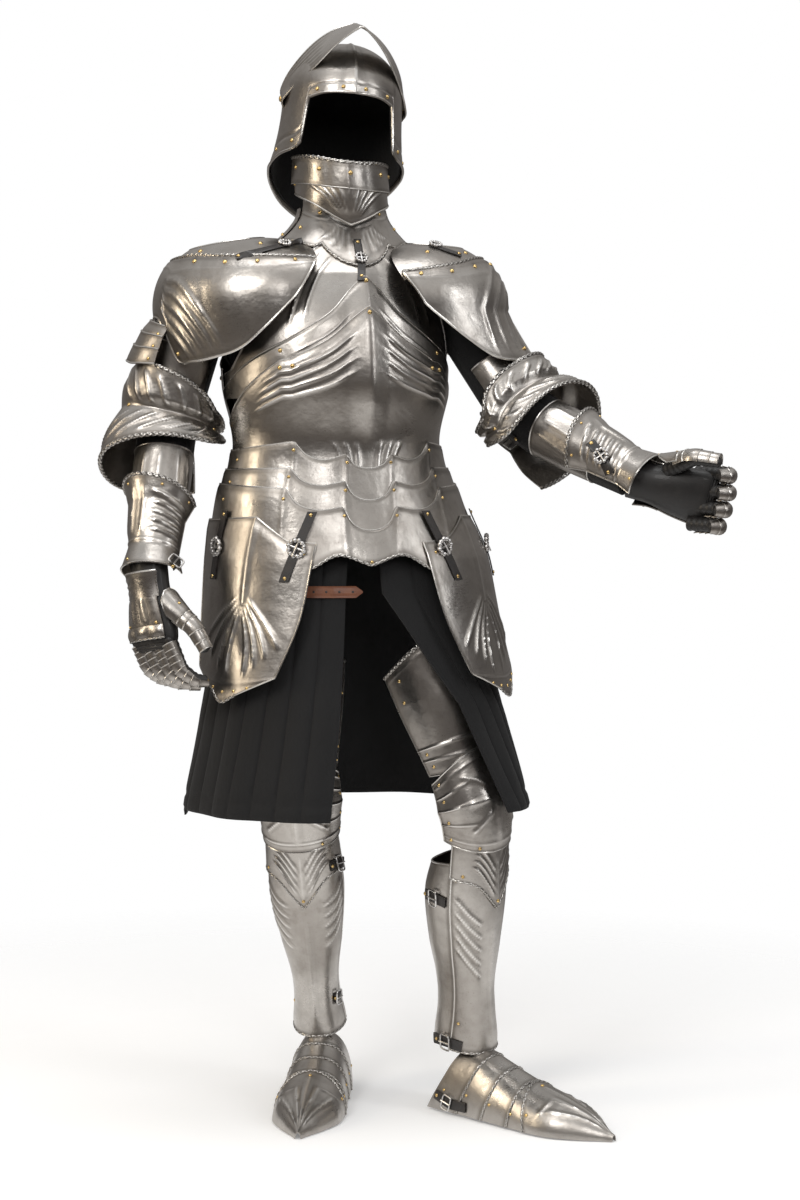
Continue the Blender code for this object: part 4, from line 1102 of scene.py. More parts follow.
@dataclass
class Cuirass:
    """Three lapping breast plates, and the backplate."""

    shop: Workshop
    keel: float = 0.010
    reach: float = 90.0

    def build(self) -> None:
        """Build the plates from the innermost."""
        edge = self.reach
        neck = both(((0, 1.480), (14, 1.484), (26, 1.492), (38, 1.462), (54, 1.385), (66, 1.330), (80, 1.285),
                     (edge, 1.275)), edge)
        under = both(((0, 1.300), (54, 1.300), (70, 1.270), (edge, 1.235)), edge)
        upper = mirrored(fan(2, ((0.365, 0.94), (0.285, 0.30)), ((0.410, 0.92), (0.330, 0.30)), 0.010,
                             0.0032, 0.0066))
        self.shop.plates("breast_upper", [Plate(
            TORSO, (-edge, edge), (under, neck), flutes=upper,
            swell=ridge(self.keel, edge, ((0, 1), (0.6, 1), (1, 0.1))),
            rims=rolled(Side.TOP, radius=0.0022))])
        middle = both(((0, 1.436), (6, 1.416), (17, 1.374), (38, 1.332), (60, 1.300), (edge, 1.250)), edge,
                      (0,))
        self.shop.plates("breast_middle", [Plate(
            TORSO, (-edge, edge), (1.235, middle), LAYER + 0.0004, swell=ridge(self.keel, edge),
            settle=0.0017,
            rims=rolled(Side.TOP, radius=0.0013), rivets=((0.5, 0.955), (0.262, 0.86), (0.738, 0.86)),
            flutes=mirrored(fan(2, ((0.485, 0.80), (0.30, 0.72)), ((0.485, 0.70), (0.30, 0.60)), 0.0,
                                0.0016, 0.006)))])
        top = both(((0, 1.384), (6, 1.366), (18, 1.330), (37, 1.298), (43, 1.296), (60, 1.262),
                    (edge, 1.200)),
                   edge, (0, 37, 43))
        foot = both(((0, 1.104), (40, 1.120), (edge, 1.128)), edge)
        sweeps = fan(4, ((0.482, 0.90), (0.200, 0.885)), ((0.482, 0.66), (0.150, 0.66)), 0.0, 0.0036, 0.0080)
        waist = fan(3, ((0.440, 0.02), (0.400, 0.25)), ((0.474, 0.02), (0.462, 0.24)), 0.003, 0.0028, 0.0066)
        self.shop.plates("plackart", [Plate(
            TORSO, (-edge, edge), (foot, top), 2 * LAYER, settle=0.0017, flutes=mirrored(sweeps + waist),
            swell=ridge(self.keel, edge, ((0, 0), (0.15, 0), (0.45, 1), (1, 1))),
            rims=rolled(Side.TOP, radius=0.0014),
            rivets=((0.5, 0.965), (0.300, 0.925), (0.700, 0.925), (0.262, 0.93), (0.738, 0.93)))])
        rise = both(((0, 1.478), (22, 1.462), (46, 1.370), (60, 1.318), (84, 1.285)), 84)
        self.shop.plates("backplate", [Plate(
            TORSO, (96, 264), (1.125, rise), flutes=fan(7, ((0.40, 0.10), (0.16, 0.62)),
                                                        ((0.60, 0.10), (0.84, 0.62)), 0.0, 0.004, 0.010),
            rims=rolled(Side.TOP, radius=0.0022), rivets=((0.06, 0.85), (0.94, 0.85)))])


@dataclass(frozen=True)
class Lame:
    """One lame of the waist: its layer, lower edge and the heights of its scalloped upper edge."""

    layer: int
    low: float
    side: float
    peak: float
    dip: float
    cusp: float
    middle: float


@dataclass
class WaistAndHips:
    """The three scalloped lames, the culet behind them, and the two tassets with their straps."""

    shop: Workshop
    lames: tuple[Lame, ...] = (
        Lame(3, 1.062, 1.149, 1.163, 1.134, 1.143, 1.120), Lame(4, 1.012, 1.118, 1.120, 1.092, 1.099, 1.068),
        Lame(5, 0.958, 1.094, 1.087, 1.052, 1.057, 1.019),
    )
    band: float = 0.012

    def lame(self, number: int, lame: Lame) -> None:
        """Build one lame of the waist."""
        top = both(((0, lame.middle), (7, lame.middle + 0.3 * (lame.cusp - lame.middle)), (11, lame.cusp),
                    (22, lame.dip), (32, lame.dip + 0.3 * (lame.peak - lame.dip)), (39, lame.peak),
                    (62, 0.5 * (lame.peak + lame.side)), (90, lame.side)), 90, (11, 39))
        low: Edge = lame.low
        rims = rolled(Side.TOP, radius=0.0015)
        if number == 3:
            low = both(((0, 0.963), (12, 0.979), (25, 0.955), (60, 0.966), (90, 0.975)), 90, (0,))
            rims += roped(Side.LOW, radius=0.0024)
        creases = mirrored((Flute((0.440, 0.97), (0.452, 0.05), 0.0, 0.0016, 0.010, True),
                            Flute((0.284, 0.97), (0.300, 0.05), 0.0, 0.0018, 0.012, True)))
        rivets = ((0.442, 0.86), (0.558, 0.86), (0.285, 0.88), (0.715, 0.88), (0.06, 0.8), (0.94, 0.8))
        if number == 3:
            rivets += ((0.5, 0.08),)
        self.shop.plates(f"fauld_{number}", [Plate(
            TORSO, (-90, 90), (low, top), lame.layer * LAYER, settle=0.0017, flutes=creases, rims=rims,
            rivets=rivets, rivet=0.0030)])

    def tasset(self, name: str, side: int, swing: float) -> None:
        """Build a thigh guard with its fan of flutes, its riveted band and its two straps."""
        edges = []
        for rows in (((0, 50), (0.12, 34), (0.5, 26), (1, 21)), ((0, 64), (0.12, 77), (0.5, 86), (1, 92))):
            edges.append(Curve(tuple((t, side * (a + swing * (1 - t))) for t, a in rows), (0.12,)))
        top = Curve(((0, 0.998), (0.18, 1.002), (0.42, 1.040), (1, 1.034)), (0.18, 0.42))
        low = Curve(((0, 0.752), (0.55, 0.738), (1, 0.758)))
        rays = fan(4, ((0.41, 0.58), (0.07, 0.30)), ((0.43, 0.50), (0.33, 0.13)), 0.006, 0.0046, 0.0074)
        rays += fan(4, ((0.45, 0.50), (0.52, 0.13)), ((0.46, 0.58), (0.90, 0.24)), -0.006, 0.0046, 0.0074)
        spine = (Flute((0.42, 1.0), (0.43, 0.55), 0.0, 0.0032, 0.012, True),)
        trim = (Flute((0.02, 0.105), (0.98, 0.105), 0.0, 0.0016, 0.004, True),)
        self.shop.plates(f"tasset_{name}", [Plate(
            TORSO, (edges[0], edges[1]), (low, top), 6 * LAYER, settle=0.0017, flutes=rays + spine + trim,
            rims=roped(Side.LOW, radius=0.0024) + rolled(Side.TOP, Side.FIRST, Side.LAST, radius=0.0016),
            rivets=((0.10, 0.055), (0.32, 0.055), (0.54, 0.055), (0.76, 0.055), (0.93, 0.055), (0.06, 0.93)),
            rivet=0.0030)])
        for place, start, end in (("inner", 24, 33), ("outer", 72, 74)):
            middle = ((0, side * (end + swing)), (1, side * start))
            sides = tuple(tuple((t, angle + half) for t, angle in middle) for half in (-2.1, 2.1))
            strip = Plate(TORSO, sides, (0.936, 1.050), 6 * LAYER + PLATE + 0.0005, LEATHER,
                          rivets=((0.5, 0.05), (0.5, 0.95)), rivet=0.0032, pitch=0.003)
            self.shop.plates(f"tasset_strap_{place}_{name}", [strip], HIDE, slot="black_leather")
            Buckles(self.shop).wreath(f"tasset_buckle_{place}_{name}", strip.outer(0.5, 0.48),
                                      strip.normal(0.5, 0.48),
                                      strip.outer(0.5, 0.7) - strip.outer(0.5, 0.3), 0.0165)

    def build(self) -> None:
        """Build the lames, the culet and the tassets."""
        for number, lame in enumerate(self.lames, 1):
            self.lame(number, lame)
        self.shop.plates("culet", [Plate(
            TORSO, (96, 264), (0.955, 1.150), LAYER, settle=0.0003, rims=roped(Side.LOW, radius=0.0024)
            + rolled(Side.TOP, radius=0.0015), flutes=fan(7, ((0.22, 0.05), (0.34, 0.72)),
                ((0.78, 0.05), (0.66, 0.72)),
                                                          0.0, 0.004, 0.010),
            relief=lambda u, t: 0.0014 * (t < 0.36) + 0.0010 * (0.36 < t < 0.66))])
        self.tasset("right", -1, 0.0)
        self.tasset("left", 1, 3.0)


@dataclass
class Buckles:
    """Silver wreath buckles, plain frame buckles, and the straps that run through them."""

    shop: Workshop

    def loop(self, centre: Vector, out: Vector, up: Vector, size: Callable[[float], Pair],
             bar: Callable[[float], float], count: int = 48) -> bmesh.types.BMesh:
        """Make a closed bar round a centre.

        Args:
            centre: The middle.
            out: The direction that it faces.
            up: The direction of its height.
            size: Its sideways and upward reach at a turn.
            bar: The bar's half thickness at a turn.
            count: Rings round it.

        Returns:
            A closed mesh.
        """
        out = out.normalized()
        up = (up - out * up.dot(out)).normalized()
        side = up.cross(out)
        shape = bmesh.new()
        bmesh.ops.create_grid(shape, x_segments=count, y_segments=8, size=0.5)
        for vert in shape.verts:
            turn, roll = 2 * math.pi * (vert.co.x + 0.5), 2 * math.pi * (vert.co.y + 0.5)
            wide, tall = size(turn)
            thick = bar(turn)
            away = (side * math.cos(turn) + up * math.sin(turn)).normalized()
            place = centre + side * wide + up * tall
            vert.co = place + away * thick * math.cos(roll) + out * thick * math.sin(roll)
        return tidy(shape)

    def tongue(self, centre: Vector, out: Vector, up: Vector, length: float,
               thick: float) -> bmesh.types.BMesh:
        """Make the pin of a buckle, from below its middle to above it."""
        points = [centre + up.normalized() * length * (k / 6 - 0.5) + out * thick * 1.2 for k in range(7)]
        return swept(points, [out] * 7, lambda gone, turn: (thick, thick * 1.2), 6)

    def wreath(self, name: str, centre: Vector, out: Vector, up: Vector, radius: float) -> None:
        """Make a round buckle with a beaded leafy rim, a pin and a middle bar."""
        centre = centre + out.normalized() * 0.0026
        rim = self.loop(centre, out, up, lambda turn: (
            math.cos(turn) * radius * 0.80 * (1 + 0.05 * math.cos(8 * turn)),
            math.sin(turn) * radius * 0.80 * (1 + 0.05 * math.cos(8 * turn))),
            lambda turn: radius * (0.15 + 0.11 * abs(math.cos(6 * turn))), 72)
        across = up.cross(out).normalized()
        bar = swept([centre + across * radius * 0.8 * (k / 4 - 0.5) * 2 for k in range(5)], [out] * 5,
                    lambda gone, turn: (radius * 0.09, radius * 0.12), 6)
        pin = self.tongue(centre, out.normalized(), up, radius * 1.7, radius * 0.09)
        self.shop.piece(name, [rim, bar, pin], (SILVER,))

    def frame(self, name: str, centre: Vector, out: Vector, up: Vector, wide: float, tall: float) -> None:
        """Make a plain rectangular buckle with its pin."""
        centre = centre + out.normalized() * 0.0028

        def size(turn: float) -> Pair:
            """Give the bar's reach at a turn."""
            c, s = math.cos(turn), math.sin(turn)
            return math.copysign(abs(c) ** 0.35, c) * wide / 2, math.copysign(abs(s) ** 0.35, s) * tall / 2

        rim = self.loop(centre, out, up, size, lambda turn: 0.0016, 40)
        pin = self.tongue(centre, out.normalized(), up, tall * 1.15, 0.0012)
        self.shop.piece(name, [rim, pin], (SILVER,))

    def strap(self, name: str, route: Sequence[Pair], on: Sequence[str], width: float = 0.018,
              finish: Finish = HIDE, lift: float = 0.0012,
              rivets: Sequence[float] = ()) -> list[tuple[Vector, Vector]]:
        """Lay a strap over pieces, along points of the camera's view.

        Args:
            name: The strap's name.
            route: Pixels of the view, of VIEW_WIDE by VIEW_TALL.
            on: The pieces that it lies on.
            width: Its width.
            finish: Its leather.
            lift: How far it lies off them.
            rivets: Shares of its length where a rivet goes through it.

        Returns:
            The places along it with their outward directions.
        """
        found: list[Optional[tuple[Vector, Vector]]] = []
        for (x0, y0), (x1, y1) in zip(route, route[1:]):
            for k in range(8):
                found.append(self.shop.seen(x0 + (x1 - x0) * k / 8, y0 + (y1 - y0) * k / 8, on))
        found.append(self.shop.seen(*route[-1], on))
        known = [k for k, hit in enumerate(found) if hit]
        if len(known) < 2:
            raise ValueError(f"{name} lies on nothing that it names")
        found = found[known[0]:known[-1] + 1]
        known = [k for k, hit in enumerate(found) if hit]
        places = []
        for k, hit in enumerate(found):
            if hit is None:
                a = max([j for j in known if j < k], default=known[0])
                b = min([j for j in known if j > k], default=known[-1])
                part = (k - a) / (b - a) if b > a else 0.0
                hit = (found[a][0].lerp(found[b][0], part), found[a][1].lerp(found[b][1], part))
            places.append(hit)
        for _ in range(3):
            inner = [((a[0] + b[0] * 2 + c[0]) / 4, (a[1] + b[1] * 2 + c[1]).normalized())
                     for a, b, c in zip(places, places[1:], places[2:])]
            places = [places[0]] + inner + [places[-1]]
        count = len(places) - 1

        def spot(u: float, t: float, height: float) -> Vector:
            """Give a place of the strap, off what it lies on."""
            k = min(count, round(t * count))
            along = places[min(count, k + 1)][0] - places[max(0, k - 1)][0]
            out = places[k][1]
            side = along.cross(out).normalized()
            return places[k][0] + side * width * (u - 0.5) + out * (lift + height)

        band = walled(6, count, lambda u, t: spot(u, t, 0.0022 - 0.0007 * abs(2 * u - 1) ** 6),
                      lambda u, t: spot(u, t, 0.0))
        for face in band.faces:
            face.smooth = True
        for share in rivets:
            k = round(share * count)
            absorb(band, dome(places[k][0] + places[k][1] * (lift + 0.0022), places[k][1], 0.0034), 1)
        self.shop.piece(name, [band], (finish, BRASS), slot="black_leather" if finish is HIDE
                        else "brown_leather")
        return places

    def plain(self, name: str, route: Sequence[Pair], on: Sequence[str], buckle: float, width: float = 0.017,
              fine: bool = False, rivets: Sequence[float] = (0.06,)) -> None:
        """Lay a strap with a buckle at a share of its length."""
        places = self.strap(f"{name}_strap", route, on, width, rivets=rivets)
        k = round(buckle * (len(places) - 1))
        way = places[min(len(places) - 1, k + 1)][0] - places[max(0, k - 1)][0]
        centre = places[k][0] + places[k][1] * 0.003
        if fine:
            self.wreath(f"{name}_buckle", centre, places[k][1], way, width * 0.85)
        else:
            self.frame(f"{name}_buckle", centre, places[k][1], way, width * 1.45, width * 1.1)


@dataclass
class ArmingCoat:
    """The black quilted coat in three panels, and the brown belt."""

    shop: Workshop
    neck: float = 1.500
    quilt: float = 0.0042

    def panel(self, name: str, first: Table, last: Table, hem: float, top: Table, channels: int) -> None:
        """Build one panel, with its channels, hem band and front binding."""

        def puff(u: float, t: float) -> float:
            """Give the quilting's height at a place."""
            channel = abs(math.sin(math.pi * u * channels)) ** 0.55
            sewn = 1 - 0.85 * math.exp(-((t - 0.036) / 0.004) ** 2)
            binding = 0.0 if name == "coat_back" else 0.0022 * math.exp(-(u / 0.018) ** 4)
            return (self.quilt * channel + binding) * sewn * eased(t / 0.012 + 0.2)

        def swell(u: float, t: float) -> float:
            """Give how far the cloth stands off at a place."""
            under = -0.011 * max(0.0, min(1.0, (hem + (blend(top, u) - hem) * t - 0.96) / 0.06))
            angle = blend(first, t) + (blend(last, t) - blend(first, t)) * u
            wave = 0.0035 * math.sin(angle * 0.21) * max(0.0, 1 - t / 0.4)
            if name == "coat_back" and t > 0.96:
                return under + (0.0030 - under) * eased((t - 0.96) / 0.04)
            if name != "coat_front_left" or t > 0.25:
                return under + wave
            return wave + 0.026 * max(0.0, 1 - abs(angle - 56) / 30) * (1 - t / 0.25)

        plate = Plate(TORSO, (first, last), (hem, top), -0.0095, CLOTH, relief=puff, swell=swell,
                      pitch=0.0055)
        made = self.shop.piece(f"quilted_{name}", [self.cloth(plate, channels)], (QUILT,),
                               slot="quilted_cloth", node=name)
        wide, tall = plate.size()
        area = sum(face.area for face in made.data.polygons) / 2
        wide * 1.25
        max(tall, area / (wide * 1.2))

    def cloth(self, plate: Plate, channels: int) -> bmesh.types.BMesh:
        """Build a panel's cloth with enough columns for its channels."""
        height = plate.worked()
        shape = walled(channels * 12, 120, lambda u, t: plate.spot(u, t, plate.wall + height(u, t)),
                       lambda u, t: plate.spot(u, t, 0.0), height)
        for face in shape.faces:
            face.smooth = True
        return shape

    def build(self) -> None:
        """Build the panels and the belt."""
        low = self.neck - 0.03
        front = ((0, low), (0.35, low), (0.55, 1.42), (0.8, 1.34), (1, 1.31))
        self.panel("coat_front_right", ((0, -13), (0.4, -9), (0.8, -3), (1, -6)), ((0, -91.5), (1, -91.5)),
                   0.545, front, 8)
        self.panel("coat_front_left", ((0, 50), (0.2, 35), (0.4, 5), (0.8, 2), (1, 0)),
                   ((0, 91.5), (1, 91.5)), 0.545, front, 6)
        self.panel("coat_back", ((0, 91.8), (1, 91.8)), ((0, 268.2), (1, 268.2)), 0.530,
                   ((0, 1.31), (0.15, 1.34), (0.3, 1.44), (0.4, self.neck), (0.6, self.neck), (0.7, 1.44),
                    (0.85, 1.34), (1, 1.31)), 13)
        strip = Plate(TORSO, (-62, ((0, -5.0), (0.5, -2.0), (1, -5.0))), (0.909, 0.928), -0.0018, LEATHER,
                      pitch=0.0030, relief=lambda u, t: -0.0009 * math.exp(-((t - 0.12) / 0.05) ** 2)
                      - 0.0009 * math.exp(-((t - 0.88) / 0.05) ** 2),
                      swell=lambda u, t: 0.0)
        shapes = [strip.shape()]
        for u in (0.66, 0.75, 0.84, 0.93):
            absorb(shapes[0], dome(strip.outer(u, 0.5), strip.normal(u, 0.5), 0.0022, 0.25), 1)
        self.shop.piece("worked_belt", shapes, (BROWN, HIDE), slot="brown_leather", node="belt")


@dataclass
class Helmet:
    """The sallet with its comb and tail, its dark lining, and the raised visor."""

    shop: Workshop
    place: dict = field(default_factory=lambda: dict(centre=(-0.012, 0.030, 1.735), turn=11, tilt=5))
    lean: float = -5.0
    raised: float = 53.0
    rim: Table = ((0, -5), (28, -6), (45, -10), (51, -55), (60, -60), (78, -63), (98, -69), (124, -82),
                  (152, -98), (180, -107))

    def round_rim(self, more: float = 0.0) -> Curve:
        """Give the rim all the way round, from pairs of one side."""
        ahead = [(angle / 360, number + more) for angle, number in self.rim]
        return Curve(tuple(ahead + [(1 - share, number) for share, number in ahead[-2::-1]]),
                     (45 / 360, 51 / 360, 1 - 45 / 360, 1 - 51 / 360))

    def build(self) -> None:
        """Build the skull, the lining and the visor."""
        head = Dome((0.099, 0.115, 0.140, 0.094), lean=self.lean, flare=(
            (0, 0.0), (50, 0.0), (74, 0.06), (100, 0.12), (150, 0.10), (180, 0.12)), **self.place)

        def comb(u: float, t: float) -> float:
            """Give the height of the comb and the sunk band."""
            near = min(abs(u), abs(u - 0.5), abs(u - 1))
            band = -0.0010 * math.exp(-((t - 0.10) / 0.012) ** 2)
            return 0.006 * (1 - t * t) * max(0.0, 1 - near / 0.03) ** 1.5 + band

        rivets = tuple((u, 0.055) for u in (0.03, 0.10, 0.17, 0.24, 0.31, 0.38, 0.45, 0.55, 0.62, 0.69,
                                            0.76, 0.83, 0.90, 0.97))
        skull = Plate(head, (0, 360), (self.round_rim(), 90), relief=comb,
                      rims=rolled(Side.LOW, radius=0.0022), rivets=rivets, rivet=0.0036)
        self.shop.plates("sallet_skull", [skull])
        lining = Plate(head, (0, 360), (self.round_rim(3), 90), -0.0045, CLOTH,
                       relief=lambda u, t: 0.0, pitch=0.007)
        self.shop.plates("sallet_lining", [lining], QUILT, slot="quilted_cloth")

        half = Dome((0.1045, 0.122, 0.122, 0.122), lean=self.lean - self.raised, flare=((0, 0.0), (180, 0.0)),
                    **self.place)

        def prow(u: float, t: float) -> float:
            """Give how far the visor stands off."""
            away = abs(u - 0.5)
            ahead = max(0.0, 1 - away / 0.42)
            pivot = -0.0034 * eased((away - 0.47) / 0.03)
            tuck = -(0.021 if u < 0.5 else 0.014) * math.sin(math.pi * min(1.0, away / 0.46)) * (1 - 0.6 * t)
            return pivot + tuck + (1 - t) * (0.006 * ahead + 0.024 * ahead ** 3) + 0.012 * ahead ** 2

        low = both(((0, -30), (30, -25), (60, -17), (80, -13), (96, -9)), 96, (0,))
        high = both(((0, 8), (30, 9), (60, 7), (80, 9), (96, 8)), 96)
        ribs = mirrored(fan(5, ((0.10, 0.30), (0.36, 0.20)), ((0.12, 0.86), (0.38, 0.84)), 0.0, 0.0018,
                            0.0065))
        keel = (Flute((0.5, 0.0), (0.5, 1.0), 0.0, 0.0024, 0.010, True),)
        visor = Plate(half, (-96, 96), (low, high), swell=prow, flutes=ribs + keel,
                      rims=rolled(Side.LOW, Side.TOP, radius=0.0018), rivets=((0.02, 0.5), (0.98, 0.5)),
                      rivet=0.0058, pitch=0.0038)
        self.shop.plates("visor", [visor], body="visor")


@dataclass
class Neck:
    """The bevor round the chin, and the gorget with its two scalloped wings."""

    shop: Workshop
    rows: tuple[tuple[float, ...], ...] = (
        (1.660, 0.074, 0.096, 0.070, 8, -0.018, 0.012), (1.620, 0.076, 0.102, 0.074, 8, -0.017, 0.014),
        (1.570, 0.080, 0.104, 0.080, 9, -0.016, 0.018), (1.520, 0.088, 0.096, 0.086, 10, -0.014, 0.024),
    )

    def build(self) -> None:
        """Build the bowl, the band over it and both halves of the gorget."""
        neck = Trunk(self.rows, 0.09)

        def chin(u: float, t: float) -> float:
            """Give the height of the chin's keel."""
            return 0.007 * max(0.0, 1 - abs(u - 0.5) / 0.12) ** 1.2

        low = both(((0, 1.522), (18, 1.536), (40, 1.552), (70, 1.566), (92, 1.574)), 92, (0,))
        high = both(((0, 1.596), (40, 1.602), (92, 1.608)), 92)
        rays = mirrored(fan(4, ((0.465, 0.12), (0.24, 0.62)), ((0.485, 0.20), (0.43, 0.85)), 0.003, 0.0032,
                            0.0065))
        self.shop.plates("bevor_bowl", [Plate(
            neck, (-92, 92), (low, high), flutes=rays,
            swell=lambda u, t: chin(u, t) - 0.0047 * (1 - t) * max(0.0, abs(2 * u - 1) - 0.6) / 0.4,
            rims=rolled(Side.LOW, radius=0.0018), pitch=0.0032, rivets=((0.04, 0.5), (0.96, 0.5)))])
        self.shop.plates("bevor_band", [Plate(
            neck, (-92, 92), (both(((0, 1.580), (92, 1.590)), 92),
                              both(((0, 1.622), (40, 1.628), (92, 1.633)), 92)),
            0.0028, swell=chin, rims=roped(Side.TOP, radius=0.0033) + rolled(Side.LOW, radius=0.0012),
            rivets=((0.10, 0.60), (0.325, 0.60), (0.512, 0.60), (0.75, 0.60), (0.90, 0.60)), pitch=0.0034)])
        wings = both(((0, 1.452), (9, 1.460), (18, 1.474), (27, 1.492), (33, 1.487), (52, 1.496),
                      (80, 1.500)), 80,
                     (0, 27))
        rays = mirrored(fan(4, ((0.46, 0.10), (0.44, 0.62)), ((0.31, 0.08), (0.39, 0.60)), 0.004, 0.0026,
                            0.006))
        rays += mirrored((Flute((0.5, 0.62), (0.05, 0.60), 0.0, 0.0014, 0.005, True),))
        self.shop.plates("gorget_front", [Plate(
            TORSO, (-80, 80), (wings, Curve(((0, 1.582), (0.2, 1.566), (0.8, 1.566), (1, 1.582)))), 0.0031,
            flutes=rays,
            swell=ridge(0.010, 80, ((0, 0.5), (1, 0))), rims=roped(Side.LOW, radius=0.0022), pitch=0.0034,
            rivets=((0.24, 0.72), (0.36, 0.72), (0.64, 0.72), (0.76, 0.72), (0.10, 0.3), (0.90, 0.3)))])
        self.shop.plates("gorget_back", [Plate(
            TORSO, (82, 278), (1.466, 1.556), 0.0065, rims=roped(Side.LOW, radius=0.0022),
            rivets=((0.04, 0.5), (0.96, 0.5), (0.3, 0.6), (0.7, 0.6)))])
        buckles = Buckles(self.shop)
        buckles.plain("gorget", ((356.8, 240), (359, 252), (361.6, 264), (361.6, 281)),
                      ("gorget_front", "breast_upper", "breast_middle"), 0.55, 0.013, True, (0.08, 0.93))


@dataclass
class Shoulder:
    """One shoulder: its main plate and the lame above it."""

    shop: Workshop
    name: str
    outward: int
    form: Dome
    corner: tuple[float, float]
    trim: float
    first: float = -30.0
    last: float = 212.0

    def build(self) -> None:
        """Build the main plate and the lame above it."""
        corner, deep = self.corner
        low = ((self.first, -6), (-15, -26), (0, -40), (20, deep), (45, deep), (58 + corner, -40),
               (66 + corner, -14),
               (80, -2), (105, -2), (120, -14), (134, -36), (160, -42), (190, -30), (self.last, -8))
        low = Curve(tuple(((angle - self.first) / (self.last - self.first), float(rise))
                          for angle, rise in low))
        high = Curve(((0, 26), (0.14, 38), (0.3, 49), (0.6, 50), (1, 46)))
        inner = Curve(((0, -24), (0.5, -32), (1, -42)))
        outer = Curve(((0, 206 - self.trim), (0.5, 212 - self.trim), (1, 222 - self.trim)))
        if self.name == "right":
            waves = tuple(Flute((0.44, 0.50 - 0.07 * k), (0.170 + 0.034 * k, 0.03), 0.040 - 0.006 * k,
                                0.0044, 0.0070, skew=0.65) for k in range(5))
            rivets = ((0.275, 0.905), (0.175, 0.90), (0.105, 0.90), (0.037, 0.90), (0.37, 0.08), (0.60, 0.10))
        else:
            waves = tuple(Flute((0.44, 0.66 - 0.09 * k), (0.150 + 0.052 * k, 0.04), 0.044 - 0.008 * k,
                                0.0042, 0.0074, skew=0.7) for k in range(4))
            rivets = ((0.037, 0.90), (0.125, 0.90), (0.225, 0.90), (0.312, 0.12), (0.35, 0.9))
        behind = fan(5, ((0.66, 0.72), (0.66, 0.08)), ((0.84, 0.80), (0.90, 0.10)), 0.008, 0.0034, 0.0085)
        trim = (Flute((0.0, 0.84), (1.0, 0.84), 0.0, 0.0014, 0.004, True),)
        self.shop.plates(f"pauldron_{self.name}", [Plate(
            self.form, (inner, outer), (low, high), LAYER, flutes=waves + behind + trim, settle=0.0030,
            rims=roped(Side.TOP, radius=0.0036) + rolled(Side.LOW, Side.FIRST, Side.LAST, radius=0.0021),
            rivets=rivets)])
        ends = (-68, 250) if self.name == "right" else (-68, 210)
        angles = (((0, -40), (1, ends[0])), ((0, 220 - self.trim), (1, ends[1])))
        layer = -0.003 if self.name == "right" else -0.0012
        self.shop.plates(f"pauldron_top_{self.name}", [Plate(
            self.form, angles, (Curve(((0, 19), (0.14, 30), (0.3, 39), (1, 40))), 68), layer,
            rims=rolled(Side.TOP, radius=0.0018), rivets=((0.10, 0.62), (0.30, 0.62), (0.55, 0.62),
                (0.80, 0.62)))])


ARM_JOINTS = {
    "right": (((-0.244, -0.020, 1.425), (-0.308, 0.000, 1.195), (-0.325, -0.115, 0.945)),
              ((0.1, -1, 0.1), (0.05, -1, 0.1), (-0.1, -1, 0.5)), -1, 0.0),
    "left": (((0.168, 0.088, 1.425), (0.290, 0.010, 1.212), (0.482, -0.130, 1.102)),
             ((0.1, -1, 0.1), (0.0, -0.75, 0.65), (-0.1, -0.4, 0.9)), 1, 0.028),
}


